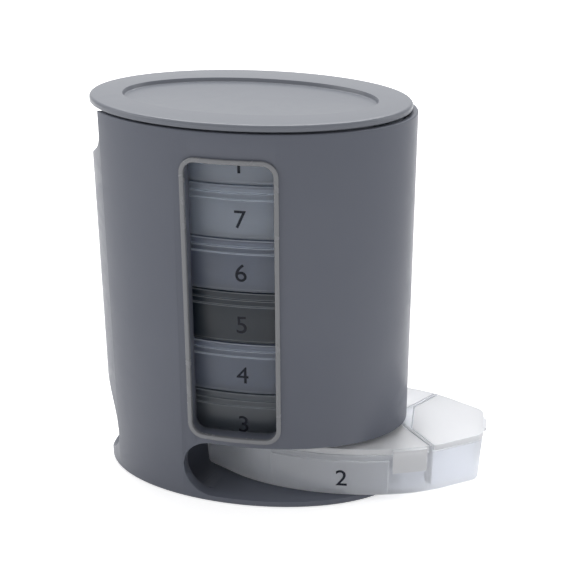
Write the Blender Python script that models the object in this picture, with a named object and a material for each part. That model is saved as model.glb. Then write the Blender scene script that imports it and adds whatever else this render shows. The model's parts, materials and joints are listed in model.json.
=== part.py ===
"""Weekly pill case: an oval barrel that holds a stack of seven trays, each with four hinged lids.

The case stands on its base. +X is the long way of the oval and the way a tray slides out, -Y is the
front, with the long window, and +Z is up. Lengths are in metres. The bottom tray, Tuesday's, is
drawn part of the way out and lies a little askew, and the other six are stacked above it.
"""

import math

import bmesh
import bpy

# Tray, in its own frame: x along its length, y across it, z up from its underside
TRAY_OVAL_HALF_LENGTH = 0.0443
TRAY_HALF_WIDTH = 0.0233
NOSE_REACH = 0.0007
NOSE_HALF_WIDTH = 0.0078
NOSE_CORNER_RADIUS = 0.0030
TRAY_RIM_HEIGHT = 0.0143
TRAY_WALL = 0.0018
TRAY_FLOOR = 0.0013
TRAY_DRAFT = 0.975
TRAY_FOOT_CHAMFER = 0.0007
FLOOR_CHAMFER = 0.0015
PARTITION_THICKNESS = 0.0022
RIDGE_TOP_WIDTH = 0.0010
SPINE_HALF_LENGTH = 0.0160
SPINE_TOP_HALF_WIDTH = 0.0022
RIDGE_ANGLE = math.radians(52.8)
DECK_HALF_LENGTH = 0.0222
DECK_THICKNESS = 0.0013

# Raised label panel on the front wall of each tray
PANEL_LEFT = -0.0210
PANEL_RIGHT = 0.0165
PANEL_BOTTOM = 0.0009
PANEL_TOP_GAP = 0.0018
PANEL_PROUD = 0.0007

# Lids
LID_THICKNESS = 0.0021
LID_GAP = 0.0003
LID_EDGE = 0.0012
LID_RECESS_DEPTH = 0.0009
LID_EDGE_CHAMFER = 0.0003
THUMB_TAB_REACH = 0.0009
THUMB_TAB_HALF_WIDTH = 0.0038
THUMB_TAB_THICKNESS = 0.0012
SKIRT_TAB_LEFT = 0.0175
SKIRT_TAB_RIGHT = 0.0280
SKIRT_TAB_THICKNESS = 0.0008
SKIRT_TAB_DROP = 0.0061

# Stack of trays in the barrel
DAYS_FROM_THE_BOTTOM = ["tuesday", "wednesday", "thursday", "friday", "saturday", "sunday", "monday"]
STACK_GAP = 0.0003
TRAY_END_CLEARANCE = 0.0019
TRAY_SIDE_CLEARANCE = 0.0018
TUESDAY_DRAWN_OUT = 0.0288
TUESDAY_TURN = math.radians(4.4)

# Barrel
BARREL_WALL = 0.0022
BARREL_FLOOR = 0.0022
BARREL_DRAFT = 0.98
BARREL_FOOT_CHAMFER = 0.0008
BARREL_RIM_CHAMFER = 0.0004
RIM_ABOVE_STACK = 0.0005
END_GUIDE_DEPTH = 0.0010
SIDE_GUIDE_DEPTH = 0.0029
RIB_THICKNESS = 0.0012
RIB_FROM_WINDOW = 0.0053
RIB_FROM_NOTCH = 0.0019
RIB_BELOW_RIM = 0.0037
BURIED = 0.0006

# Window in the front of the barrel, with its raised bead
WINDOW_HALF_WIDTH = 0.0133
WINDOW_ABOVE_SLOT = 0.0032
WINDOW_BELOW_RIM = 0.0090
WINDOW_CORNER_RADIUS = 0.0036
BEAD_WIDTH = 0.0014
BEAD_PROUD = 0.0008
BEAD_CHAMFER = 0.0003
BEAD_STEP = 0.0040

# Slot that the bottom tray slides out of, open at the right and through from front to back
SLOT_HEADROOM = 0.0018
SLOT_LEFT_END = -0.0169
SLOT_FLANGE = 0.0016

# Finger hole that pushes the bottom tray out, and thumb notch in the rim, both at the left end
FINGER_HOLE_HALF_WIDTH = 0.0146
FINGER_HOLE_LOWER = 0.0100
FINGER_HOLE_UPPER = 0.0203
NOTCH_HALF_WIDTH = 0.0146
NOTCH_DEPTH = 0.0165
NOTCH_ROUND = 0.0085

# Cover
COVER_GAP = 0.0006
COVER_INSET_AT_ENDS = 0.0008
COVER_INSET_AT_SIDES = 0.0004
COVER_TOWARDS_THUMB = 0.0008
COVER_EDGE_HEIGHT = 0.0020
COVER_EDGE_RADIUS = 0.0009
PAN_HALF_LENGTH = 0.0388
PAN_HALF_WIDTH = 0.0191
PAN_SLOPE = 0.0004
PAN_DEPTH = 0.0012
PAN_PLATE = 0.0010
SKIRT_GAP = 0.0003
SKIRT_THICKNESS = 0.0010
SKIRT_NOTCH_GAP = 0.0009

# Facets
OVAL_SEGMENTS = 72
TRAY_ARC_STEPS = 7
NOSE_CORNER_STEPS = 2
ROUND_STEPS = 6
COVER_EDGE_STEPS = 4

# Sizes that follow from those above
TRAY_HEIGHT = TRAY_RIM_HEIGHT + LID_GAP + LID_THICKNESS
TRAY_HALF_LENGTH = TRAY_OVAL_HALF_LENGTH + NOSE_REACH
TRAY_PITCH = TRAY_HEIGHT + STACK_GAP
DECK_UNDERSIDE = TRAY_HEIGHT - DECK_THICKNESS
END_HINGE_X = DECK_HALF_LENGTH + LID_GAP
SIDE_HINGE_Y = SPINE_TOP_HALF_WIDTH + LID_GAP
WELL_HALF_LENGTH = TRAY_HALF_LENGTH + TRAY_END_CLEARANCE
WELL_HALF_WIDTH = TRAY_HALF_WIDTH + TRAY_SIDE_CLEARANCE
BARREL_HALF_LENGTH = WELL_HALF_LENGTH + END_GUIDE_DEPTH + BARREL_WALL
BARREL_HALF_WIDTH = WELL_HALF_WIDTH + SIDE_GUIDE_DEPTH + BARREL_WALL
BARREL_HEIGHT = BARREL_FLOOR + STACK_GAP + len(DAYS_FROM_THE_BOTTOM) * TRAY_PITCH + RIM_ABOVE_STACK
RIB_TOP = BARREL_HEIGHT - RIB_BELOW_RIM
SLOT_TOP = BARREL_FLOOR + STACK_GAP + TRAY_HEIGHT + SLOT_HEADROOM
WINDOW_BOTTOM = SLOT_TOP + WINDOW_ABOVE_SLOT
WINDOW_TOP = BARREL_HEIGHT - WINDOW_BELOW_RIM
NOTCH_BOTTOM = BARREL_HEIGHT - NOTCH_DEPTH
COVER_BOTTOM = BARREL_HEIGHT + COVER_GAP
COVER_TOP = COVER_BOTTOM + COVER_EDGE_HEIGHT
PAN_FLOOR = COVER_TOP - PAN_DEPTH
SKIRT_BOTTOM = RIB_TOP + SKIRT_GAP

# How far a cutting shape runs past what it cuts, and how near two points are before they are one
PAST = 0.004
FAR = 2 * BARREL_HALF_LENGTH
WELD = 0.000004


def clear_scene():
    for thing in list(bpy.data.objects):
        bpy.data.objects.remove(thing)


def material(name, colour, roughness, alpha=1.0):
    made = bpy.data.materials.new(name)
    made.use_nodes = True
    shader = made.node_tree.nodes["Principled BSDF"]
    shader.inputs["Base Color"].default_value = (*colour, 1.0)
    shader.inputs["Roughness"].default_value = roughness
    shader.inputs["Metallic"].default_value = 0.0
    shader.inputs["Alpha"].default_value = alpha
    return made


# Outlines, as lists of points in a plane


def oval(half_length, half_width, centre_x=0.0, segments=OVAL_SEGMENTS):
    turns = [2 * math.pi * step / segments for step in range(segments)]
    return [(centre_x + half_length * math.cos(t), half_width * math.sin(t)) for t in turns]


def arc(centre_u, centre_v, radius_u, radius_v, start, end, steps):
    """Points along an elliptical arc, with start and end in degrees."""
    turns = [math.radians(start + (end - start) * step / steps) for step in range(steps + 1)]
    return [(centre_u + radius_u * math.cos(t), centre_v + radius_v * math.sin(t)) for t in turns]


def rounded_box(half_width, bottom, top, radius):
    """An upright box outline about u = 0, with four round corners."""
    reach = half_width - radius
    points = arc(reach, bottom + radius, radius, radius, -90, 0, ROUND_STEPS)
    points += arc(reach, top - radius, radius, radius, 0, 90, ROUND_STEPS)
    points += arc(-reach, top - radius, radius, radius, 90, 180, ROUND_STEPS)
    points += arc(-reach, bottom + radius, radius, radius, 180, 270, ROUND_STEPS)
    return points


def clip(points, normal_x, normal_y, distance):
    """The part of a convex outline where normal . point is at least distance."""
    kept = []
    for here, after in zip(points, points[1:] + points[:1]):
        depth_here = normal_x * here[0] + normal_y * here[1] - distance
        depth_after = normal_x * after[0] + normal_y * after[1] - distance
        if depth_here >= 0:
            kept.append(here)
        if (depth_here >= 0) != (depth_after >= 0):
            share = depth_here / (depth_here - depth_after)
            kept.append(tuple(a + share * (b - a) for a, b in zip(here, after)))
    return kept


def scaled(points, factor, about=(0.0, 0.0)):
    return [tuple(c + factor * (value - c) for c, value in zip(about, point)) for point in points]


def middle_of(points):
    return tuple(sum(values) / len(points) for values in zip(*points))


def tray_outline(grow=0.0):
    """The tray from above: an oval whose ends run straight to a blunt nose with round corners."""
    half_length = TRAY_OVAL_HALF_LENGTH + grow
    half_width = TRAY_HALF_WIDTH + grow
    nose_x = half_length + NOSE_REACH
    nose_y = NOSE_HALF_WIDTH + grow * math.tan(math.pi / 8)
    along, across = nose_x / half_length, nose_y / half_width
    touch = math.atan2(across, along) + math.acos(1 / math.hypot(along, across))
    touch_x, touch_y = half_length * math.cos(touch), half_width * math.sin(touch)
    turn = math.atan2(nose_x - touch_x, touch_y - nose_y)
    radius = min(NOSE_CORNER_RADIUS, 0.8 * nose_y / math.tan(turn / 2))
    corner_y = nose_y - radius * math.tan(turn / 2)
    quarter = arc(nose_x - radius, corner_y, radius, radius, 0, math.degrees(turn), NOSE_CORNER_STEPS)
    quarter += arc(0, 0, half_length, half_width, math.degrees(touch), 90, TRAY_ARC_STEPS)
    half = quarter + [(-x, y) for x, y in reversed(quarter[:-1])]
    return half + [(-x, -y) for x, y in half]


def beside_ridges(points, ridge_offset, side):
    """The part of an outline on one side of the two ridges that bound it.

    side is "end" for the part beyond the ridges at +x, and "front" for the part between them at -y.
    """
    sine, cosine = math.sin(RIDGE_ANGLE), math.cos(RIDGE_ANGLE)
    if side == "end":
        limit = SPINE_HALF_LENGTH * sine + ridge_offset
        return clip(clip(points, sine, -cosine, limit), sine, cosine, limit)
    limit = ridge_offset - SPINE_HALF_LENGTH * sine
    return clip(clip(points, -sine, -cosine, limit), sine, -cosine, limit)


# Solids


def new_object(name, mesh):
    made = bpy.data.objects.new(name, mesh)
    bpy.context.scene.collection.objects.link(made)
    return made


def loft(name, rings):
    """A closed solid through rings of equally many points (x, y, z), capped at both ends."""
    mesh = bpy.data.meshes.new(name)
    shape = bmesh.new()
    rows = [[shape.verts.new(point) for point in ring] for ring in rings]
    count = len(rows[0])
    for low, high in zip(rows, rows[1:]):
        for i in range(count):
            j = (i + 1) % count
            shape.faces.new((low[i], low[j], high[j], high[i]))
    shape.faces.new(list(reversed(rows[0])))
    shape.faces.new(rows[-1])
    bmesh.ops.recalc_face_normals(shape, faces=shape.faces)
    shape.to_mesh(mesh)
    shape.free()
    return new_object(name, mesh)


def upright(name, sections):
    """A solid through level outlines, given as pairs of points and height."""
    return loft(name, [[(x, y, z) for x, y in points] for points, z in sections])


def along_y(name, points, start, end):
    return loft(name, [[(x, y, z) for x, z in points] for y in (start, end)])


def along_x(name, points, start, end):
    return loft(name, [[(x, y, z) for y, z in points] for x in (start, end)])


def combine(target, tool, operation):
    """Applies one Boolean operation to target, and removes the tool."""
    change = target.modifiers.new("change", "BOOLEAN")
    change.operation = operation
    change.solver = "EXACT"
    change.object = tool
    bpy.context.view_layer.update()
    graph = bpy.context.evaluated_depsgraph_get()
    target.data = bpy.data.meshes.new_from_object(target.evaluated_get(graph))
    target.modifiers.clear()
    bpy.data.objects.remove(tool)
    shape = bmesh.new()
    shape.from_mesh(target.data)
    bmesh.ops.remove_doubles(shape, verts=shape.verts, dist=WELD)
    shape.to_mesh(target.data)
    shape.free()
    return target


def cut(target, tool):
    return combine(target, tool, "DIFFERENCE")


def join(target, tool):
    return combine(target, tool, "UNION")


def keep_inside(target, tool):
    return combine(target, tool, "INTERSECT")


def finish(thing, look, smooth_below=35):
    mesh = thing.data
    mesh.materials.clear()
    mesh.materials.append(look)
    mesh.shade_smooth()
    mesh.set_sharp_from_angle(angle=math.radians(smooth_below))


# Barrel


def barrel_half_axes(height, grow=0.0):
    """The outer oval's half length and half width at a height: the barrel widens towards its rim."""
    share = BARREL_DRAFT + (1 - BARREL_DRAFT) * height / BARREL_HEIGHT
    return BARREL_HALF_LENGTH * share + grow, BARREL_HALF_WIDTH * share + grow


def barrel_shell(name, grow, bottom, top):
    """The barrel's tapered outer form, grown or shrunk, between two heights."""
    heights = (bottom, top)
    return upright(name, [(oval(*barrel_half_axes(z, grow)), z) for z in heights])


def outer_form():
    foot, rim = BARREL_FOOT_CHAMFER, BARREL_RIM_CHAMFER
    return upright(
        "barrel",
        [
            (oval(*barrel_half_axes(0, -foot)), 0),
            (oval(*barrel_half_axes(foot)), foot),
            (oval(*barrel_half_axes(BARREL_HEIGHT - rim)), BARREL_HEIGHT - rim),
            (oval(*barrel_half_axes(BARREL_HEIGHT, -rim)), BARREL_HEIGHT),
        ],
    )


def well():
    """The upright space that the ribs and flanges leave for the trays."""
    outline = oval(WELL_HALF_LENGTH, WELL_HALF_WIDTH)
    return upright("well", [(outline, BARREL_FLOOR), (outline, BARREL_HEIGHT + PAST)])


def slot_outline(grow=0.0):
    """The slot from the front: a round left end, and straight edges to beyond the right end."""
    radius = (SLOT_TOP - BARREL_FLOOR) / 2 + grow
    centre_x = SLOT_LEFT_END + radius - grow
    centre_z = (SLOT_TOP + BARREL_FLOOR) / 2
    points = arc(centre_x, centre_z, radius, radius, 90, 270, 2 * ROUND_STEPS)
    return points + [(FAR, centre_z - radius), (FAR, centre_z + radius)]


def guides():
    """Ribs inside the wall, and the slot's flange, all ending on the well."""
    made = along_y("guides", slot_outline(SLOT_FLANGE), -FAR, FAR)
    half = RIB_THICKNESS / 2
    rib_x = WINDOW_HALF_WIDTH + BEAD_WIDTH + RIB_FROM_WINDOW
    rib_y = NOTCH_HALF_WIDTH + RIB_FROM_NOTCH
    bottom = SLOT_TOP + SLOT_FLANGE / 2
    for side in (-1, 1):
        edges = (side * rib_x - half, side * rib_x + half)
        outline = [(edges[0], bottom), (edges[1], bottom), (edges[1], RIB_TOP), (edges[0], RIB_TOP)]
        join(made, along_y("rib", outline, -FAR, FAR))
        edges = (side * rib_y - half, side * rib_y + half)
        outline = [(edges[0], bottom), (edges[1], bottom), (edges[1], RIB_TOP), (edges[0], RIB_TOP)]
        join(made, along_x("rib", outline, -FAR, FAR))
    keep_inside(made, barrel_shell("shell", -BURIED, BARREL_FLOOR / 2, BARREL_HEIGHT))
    return cut(made, well())


def window_outline(grow=0.0):
    return rounded_box(
        WINDOW_HALF_WIDTH + grow,
        WINDOW_BOTTOM - grow,
        WINDOW_TOP + grow,
        WINDOW_CORNER_RADIUS + grow,
    )


def stepped(points, longest):
    """The outline with more points, so that no stretch of it goes further sideways than longest."""
    made = []
    for here, after in zip(points, points[1:] + points[:1]):
        steps = max(1, math.ceil(abs(after[0] - here[0]) / longest))
        for step in range(steps):
            made.append(tuple(a + step / steps * (b - a) for a, b in zip(here, after)))
    return made


def window_flange():
    """The window's rim inside the wall, which reaches in to the well."""
    made = along_y("flange", window_outline(BEAD_WIDTH), -FAR, 0)
    keep_inside(made, barrel_shell("shell", -BURIED, BARREL_FLOOR, BARREL_HEIGHT))
    return cut(made, well())


def window_bead():
    """The raised bead round the window: a chamfered section swept round it, on the barrel's face.

    The section reaches a little into the window, which is cut through it afterwards.
    """
    path = stepped(window_outline(BEAD_WIDTH / 2), BEAD_STEP)
    half, chamfer = BEAD_WIDTH / 2, BEAD_CHAMFER
    inner = half + BURIED / 2
    section = [(-inner, -BURIED), (-inner, BEAD_PROUD - chamfer - BURIED / 2), (chamfer - half, BEAD_PROUD)]
    section += [(half - chamfer, BEAD_PROUD), (half, BEAD_PROUD - chamfer), (half, -BURIED)]
    mesh = bpy.data.meshes.new("bead")
    shape = bmesh.new()
    rows = []
    for before, here, after in zip(path[-1:] + path[:-1], path, path[1:] + path[:1]):
        half_length, half_width = barrel_half_axes(here[1])
        turn = math.acos(here[0] / half_length)
        normal_x, normal_y = half_width * math.cos(turn), -half_length * math.sin(turn)
        size = math.hypot(normal_x, normal_y)
        normal_x, normal_y = normal_x / size, normal_y / size
        run_x, run_z = after[0] - before[0], after[1] - before[1]
        run = math.hypot(run_x, run_z)
        out_x, out_z = run_z / run, -run_x / run
        face_y = -half_width * math.sin(turn)
        row = []
        for sideways, outward in section:
            x = here[0] - sideways * out_x * normal_y + outward * normal_x
            y = face_y + sideways * out_x * normal_x + outward * normal_y
            row.append(shape.verts.new((x, y, here[1] + sideways * out_z)))
        rows.append(row)
    for row, next_row in zip(rows, rows[1:] + rows[:1]):
        for i in range(len(section)):
            j = (i + 1) % len(section)
            shape.faces.new((row[i], row[j], next_row[j], next_row[i]))
    bmesh.ops.recalc_face_normals(shape, faces=shape.faces)
    shape.to_mesh(mesh)
    shape.free()
    return new_object("bead", mesh)


def finger_hole():
    centre = BARREL_FLOOR + FINGER_HOLE_LOWER
    width = FINGER_HOLE_HALF_WIDTH
    steps = 2 * ROUND_STEPS + 1
    outline = arc(0, centre, width, FINGER_HOLE_UPPER, 0, 180, steps)
    outline += arc(0, centre, width, FINGER_HOLE_LOWER, 180, 360, steps)[1:-1]
    return along_x("finger_hole", outline, -FAR, -BARREL_HALF_LENGTH / 2)


def thumb_notch():
    centre = NOTCH_BOTTOM + NOTCH_ROUND
    outline = arc(0, centre, NOTCH_HALF_WIDTH, NOTCH_ROUND, 180, 360, 2 * ROUND_STEPS + 1)
    outline += [(NOTCH_HALF_WIDTH, BARREL_HEIGHT + PAST), (-NOTCH_HALF_WIDTH, BARREL_HEIGHT + PAST)]
    return along_x("thumb_notch", outline, -FAR, -BARREL_HALF_LENGTH / 2)


def build_barrel(look):
    barrel = outer_form()
    cut(barrel, barrel_shell("cavity", -BARREL_WALL, BARREL_FLOOR, BARREL_HEIGHT + PAST))
    join(barrel, guides())
    join(barrel, window_flange())
    join(barrel, window_bead())
    cut(barrel, along_y("window", window_outline(), -FAR, 0))
    cut(barrel, along_y("slot", slot_outline(), -FAR, FAR))
    cut(barrel, finger_hole())
    cut(barrel, thumb_notch())
    finish(barrel, look)
    return barrel


# Cover


def cover_rings(half_length, half_width, centre_x):
    """The cover's plate: a straight edge below and a rounded one above."""
    radius = COVER_EDGE_RADIUS
    rings = [(0.0, COVER_BOTTOM)]
    for step in range(COVER_EDGE_STEPS + 1):
        turn = math.pi / 2 * step / COVER_EDGE_STEPS
        rings.append((radius * (1 - math.cos(turn)), COVER_TOP - radius * (1 - math.sin(turn))))
    return [(oval(half_length - inset, half_width - inset, centre_x), z) for inset, z in rings]


def skirt():
    """Two arcs under the cover, which fit inside the barrel's mouth and rest on its ribs.

    They leave out the ends, where the thumb notch and the top tray's thumb tabs are.
    """
    wall_length, wall_width = barrel_half_axes(SKIRT_BOTTOM, -BARREL_WALL - SKIRT_GAP)
    inner_length, inner_width = wall_length - SKIRT_THICKNESS, wall_width - SKIRT_THICKNESS
    middle = (COVER_BOTTOM + COVER_TOP) / 2
    outer = oval(wall_length, wall_width)
    inner = oval(inner_length, inner_width)
    made = upright("skirt", [(outer, SKIRT_BOTTOM), (outer, middle)])
    cut(made, upright("inside", [(inner, SKIRT_BOTTOM - PAST), (inner, middle + PAST)]))
    side = NOTCH_HALF_WIDTH + SKIRT_NOTCH_GAP
    bottom, top = SKIRT_BOTTOM - PAST, middle + PAST
    gap = [(-side, bottom), (side, bottom), (side, top), (-side, top)]
    return cut(made, along_x("gap", gap, -FAR, FAR))


def build_cover(look):
    half_length = BARREL_HALF_LENGTH - COVER_INSET_AT_ENDS
    half_width = BARREL_HALF_WIDTH - COVER_INSET_AT_SIDES
    centre_x = -COVER_TOWARDS_THUMB
    cover = upright("top_cover", cover_rings(half_length, half_width, centre_x))
    plate = oval(PAN_HALF_LENGTH + PAN_SLOPE, PAN_HALF_WIDTH + PAN_SLOPE, centre_x)
    middle = (COVER_BOTTOM + PAN_FLOOR) / 2
    join(cover, upright("pan_plate", [(plate, PAN_FLOOR - PAN_PLATE), (plate, middle)]))
    join(cover, skirt())
    sections = []
    for share in (0.0, 1.0):
        out = PAN_SLOPE * share
        outline = oval(PAN_HALF_LENGTH + out, PAN_HALF_WIDTH + out, centre_x)
        sections.append((outline, PAN_FLOOR + PAN_DEPTH * share))
    sections.append((sections[-1][0], COVER_TOP + PAST))
    cut(cover, upright("pan", sections))
    finish(cover, look)
    return cover


# Trays and lids, in the tray's frame


def draft_at(height):
    """How much the tray's outline is scaled at a height: it narrows a little towards its underside."""
    return TRAY_DRAFT + (1 - TRAY_DRAFT) * height / TRAY_HEIGHT


def pocket(side, name):
    """The space of one compartment, up to the underside of the spine and deck."""
    outline = beside_ridges(tray_outline(-TRAY_WALL), PARTITION_THICKNESS / 2, side)
    if side == "front":
        outline = clip(outline, 0, -1, PARTITION_THICKNESS / 2)
    middle = middle_of(outline)
    reach = max(math.dist(point, middle) for point in outline)
    lower = scaled(outline, 1 - FLOOR_CHAMFER / reach, middle)
    return upright(name, [(lower, TRAY_FLOOR), (outline, TRAY_FLOOR + FLOOR_CHAMFER), (outline, DECK_UNDERSIDE)])


def lid_outline(side, ridge_offset, hinge_inset, grow):
    outline = beside_ridges(tray_outline(grow), ridge_offset, side)
    if side == "front":
        return clip(outline, 0, -1, SIDE_HINGE_Y + hinge_inset)
    return clip(outline, 1, 0, END_HINGE_X + hinge_inset)


def turned(points):
    return [(-x, -y) for x, y in points]


def tray_mesh():
    foot_scale = draft_at(TRAY_FOOT_CHAMFER) * (1 - TRAY_FOOT_CHAMFER / TRAY_HALF_WIDTH)
    outline = tray_outline()
    tray = upright(
        "tray",
        [
            (scaled(outline, foot_scale), 0),
            (scaled(outline, draft_at(TRAY_FOOT_CHAMFER)), TRAY_FOOT_CHAMFER),
            (outline, TRAY_HEIGHT),
        ],
    )
    panel = clip(clip(tray_outline(PANEL_PROUD), 1, 0, PANEL_LEFT), -1, 0, -PANEL_RIGHT)
    panel = clip(panel, 0, -1, TRAY_HALF_WIDTH / 2)
    heights = (PANEL_BOTTOM, TRAY_RIM_HEIGHT - PANEL_TOP_GAP)
    join(tray, upright("panel", [(scaled(panel, draft_at(z)), z) for z in heights]))
    for side in ("front", "end"):
        space = lid_outline(side, RIDGE_TOP_WIDTH / 2, -LID_GAP, PAST)
        for flip in (False, True):
            hollow = pocket(side, "pocket")
            above = turned(space) if flip else space
            if flip:
                hollow.rotation_euler.z = math.pi
            cut(tray, hollow)
            cut(tray, upright("lid_space", [(above, TRAY_RIM_HEIGHT), (above, TRAY_HEIGHT + PAST)]))
    return tray


def lid_solid(side):
    """A lid: a plate with a chamfered top edge, and a shallow recess in its underside."""
    bottom = TRAY_RIM_HEIGHT + LID_GAP
    outline = lid_outline(side, RIDGE_TOP_WIDTH / 2 + LID_GAP, 0.0, 0.0)
    middle = middle_of(outline)
    reach = max(math.dist(point, middle) for point in outline)
    top = scaled(outline, 1 - LID_EDGE_CHAMFER / reach, middle)
    lid = upright("lid", [(outline, bottom), (outline, TRAY_HEIGHT - LID_EDGE_CHAMFER), (top, TRAY_HEIGHT)])
    inner = lid_outline(side, RIDGE_TOP_WIDTH / 2 + LID_GAP + LID_EDGE, LID_EDGE, -LID_EDGE)
    cut(lid, upright("recess", [(inner, bottom - PAST), (inner, bottom + LID_RECESS_DEPTH)]))
    return lid


def end_lid():
    lid = lid_solid("end")
    middle = TRAY_HEIGHT - LID_THICKNESS / 2
    low, high = middle - THUMB_TAB_THICKNESS / 2, middle + THUMB_TAB_THICKNESS / 2
    inside, outside = TRAY_HALF_LENGTH - LID_EDGE / 2, TRAY_HALF_LENGTH + THUMB_TAB_REACH
    side, slant = THUMB_TAB_HALF_WIDTH, THUMB_TAB_REACH
    tab = [(inside, -side), (TRAY_HALF_LENGTH, -side), (outside, slant - side)]
    tab += [(outside, side - slant), (TRAY_HALF_LENGTH, side), (inside, side)]
    return join(lid, upright("thumb_tab", [(tab, low), (tab, high)]))


def skirt_tab(inner_grow, outer_grow, bottom, top):
    """A band that follows the tray's front wall, between two distances outside it."""
    outline = lid_outline("front", RIDGE_TOP_WIDTH / 2 + LID_GAP, 0.0, outer_grow)
    outline = clip(clip(outline, 1, 0, SKIRT_TAB_LEFT), -1, 0, -SKIRT_TAB_RIGHT)
    band = upright("skirt_tab", [(outline, bottom), (outline, top)])
    inner = tray_outline(inner_grow)
    return cut(band, upright("inside", [(inner, bottom - PAST), (inner, top + PAST)]))


def front_lid():
    lid = lid_solid("front")
    bottom = TRAY_RIM_HEIGHT + LID_GAP
    reach = LID_GAP + SKIRT_TAB_THICKNESS
    join(lid, skirt_tab(-LID_EDGE / 2, reach, bottom, TRAY_HEIGHT - LID_EDGE_CHAMFER))
    return join(lid, skirt_tab(LID_GAP, reach, bottom - SKIRT_TAB_DROP, bottom + LID_GAP))


def mesh_from(thing, origin):
    """The object's mesh, with its origin moved to a point, and the object removed."""
    mesh = thing.data
    for vertex in mesh.vertices:
        vertex.co = [value - start for value, start in zip(vertex.co, origin)]
    bpy.data.objects.remove(thing)
    return mesh


def place(name, mesh, parent, location=(0.0, 0.0, 0.0), turn=0.0):
    made = new_object(name, mesh)
    made.parent = parent
    made.location = location
    made.rotation_euler.z = turn
    return made


def build_trays(tray_look, lid_look):
    """Seven trays with their lids. A lid's origin is on its hinge line."""
    end_hinge = (END_HINGE_X, 0.0, TRAY_HEIGHT)
    front_hinge = (0.0, -SIDE_HINGE_Y, TRAY_HEIGHT)
    tray = tray_mesh()
    lids = {"end": end_lid(), "front": front_lid()}
    finish(tray, tray_look)
    for lid in lids.values():
        finish(lid, lid_look)
    tray = mesh_from(tray, (0.0, 0.0, 0.0))
    end_mesh = mesh_from(lids["end"], end_hinge)
    side_mesh = mesh_from(lids["front"], front_hinge)
    for number, day in enumerate(DAYS_FROM_THE_BOTTOM):
        place_of_tray = new_object("place_" + day, None)
        place_of_tray.location.z = BARREL_FLOOR + STACK_GAP + number * TRAY_PITCH
        if number == 0:
            place_of_tray.location.x = TUESDAY_DRAWN_OUT * math.cos(TUESDAY_TURN)
            place_of_tray.location.y = TUESDAY_DRAWN_OUT * math.sin(TUESDAY_TURN)
            place_of_tray.rotation_euler.z = TUESDAY_TURN
        place("tray_" + day, tray, place_of_tray)
        place("right_lid_" + day, end_mesh, place_of_tray, end_hinge)
        place("left_lid_" + day, end_mesh, place_of_tray, (-END_HINGE_X, 0.0, TRAY_HEIGHT), math.pi)
        place("front_lid_" + day, side_mesh, place_of_tray, front_hinge)
        place("back_lid_" + day, side_mesh, place_of_tray, (0.0, SIDE_HINGE_Y, TRAY_HEIGHT), math.pi)


clear_scene()
build_barrel(material("barrel_grey", (0.13, 0.15, 0.19), 0.35))
build_cover(material("cover_grey", (0.13, 0.15, 0.19), 0.35))
build_trays(
    material("tray_frosted", (0.80, 0.82, 0.84), 0.45, 0.6),
    material("lid_frosted", (0.80, 0.82, 0.84), 0.40, 0.6),
)
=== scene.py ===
# %% [markdown]
# # A weekly pill case
# The case is an oval barrel of blue-grey plastic, about as tall as a mug. It holds a stack of seven
# frosted trays, one for each day, and each tray has four hinged lids. The bottom tray slides out of a
# slot, and the others drop down after it.
#
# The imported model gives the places, the sizes and what moves. This lesson makes each of its pieces again
# with finer curves, softened edges and a finish of its own. Lengths are in metres and +Z is up.

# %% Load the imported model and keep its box
import json
import math
from contextlib import contextmanager

import bmesh
import bpy
from mathutils import Matrix, Vector

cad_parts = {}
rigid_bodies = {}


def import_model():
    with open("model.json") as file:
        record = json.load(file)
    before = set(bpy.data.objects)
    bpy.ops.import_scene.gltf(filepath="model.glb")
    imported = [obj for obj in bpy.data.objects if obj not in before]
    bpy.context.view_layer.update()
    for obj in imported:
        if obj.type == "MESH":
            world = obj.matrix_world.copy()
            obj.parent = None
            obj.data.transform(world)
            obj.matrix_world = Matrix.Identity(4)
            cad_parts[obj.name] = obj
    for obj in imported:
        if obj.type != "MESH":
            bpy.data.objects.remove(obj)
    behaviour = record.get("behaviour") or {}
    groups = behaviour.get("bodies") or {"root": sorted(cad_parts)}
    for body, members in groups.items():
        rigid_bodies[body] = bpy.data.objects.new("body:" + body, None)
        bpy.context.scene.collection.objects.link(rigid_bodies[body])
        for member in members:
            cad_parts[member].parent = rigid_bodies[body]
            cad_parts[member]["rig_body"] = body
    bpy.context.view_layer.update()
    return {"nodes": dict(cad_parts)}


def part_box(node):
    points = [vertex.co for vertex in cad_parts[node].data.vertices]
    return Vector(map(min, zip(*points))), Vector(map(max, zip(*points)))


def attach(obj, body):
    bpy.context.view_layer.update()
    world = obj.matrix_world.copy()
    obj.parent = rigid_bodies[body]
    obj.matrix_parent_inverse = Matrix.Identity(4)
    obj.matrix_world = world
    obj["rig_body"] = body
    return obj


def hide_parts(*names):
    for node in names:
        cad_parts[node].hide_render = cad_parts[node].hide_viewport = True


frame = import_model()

body_of = {node: thing["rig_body"] for node, thing in frame["nodes"].items()}

# %% [markdown]
# ## The camera
# The photograph was taken from a little above and to the right of the front, from half a metre away.
# A camera could be placed by hand, but five plain numbers are easier to check: where it looks, from
# which bearing and height angle, how far off, and how much it is tipped. The photograph is cropped off
# its centre, so the lens has a small shift as well.

# %% Place the camera
LOOKS_AT = Vector((0, 0, 0.061))
BEARING = math.radians(13.73)
HEIGHT_ANGLE = math.radians(23.51)
CAMERA_DISTANCE = 0.4615
CAMERA_TIP = math.radians(-0.905)
FOCAL_LENGTH_MM = 91.17
SENSOR_MM = 36
SHIFT_RIGHT = 0.0585
SHIFT_UP = 0.0048
NEAREST_SEEN = 0.01


def new_object(name, data):
    made = bpy.data.objects.new(name, data)
    bpy.context.scene.collection.objects.link(made)
    return made


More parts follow.
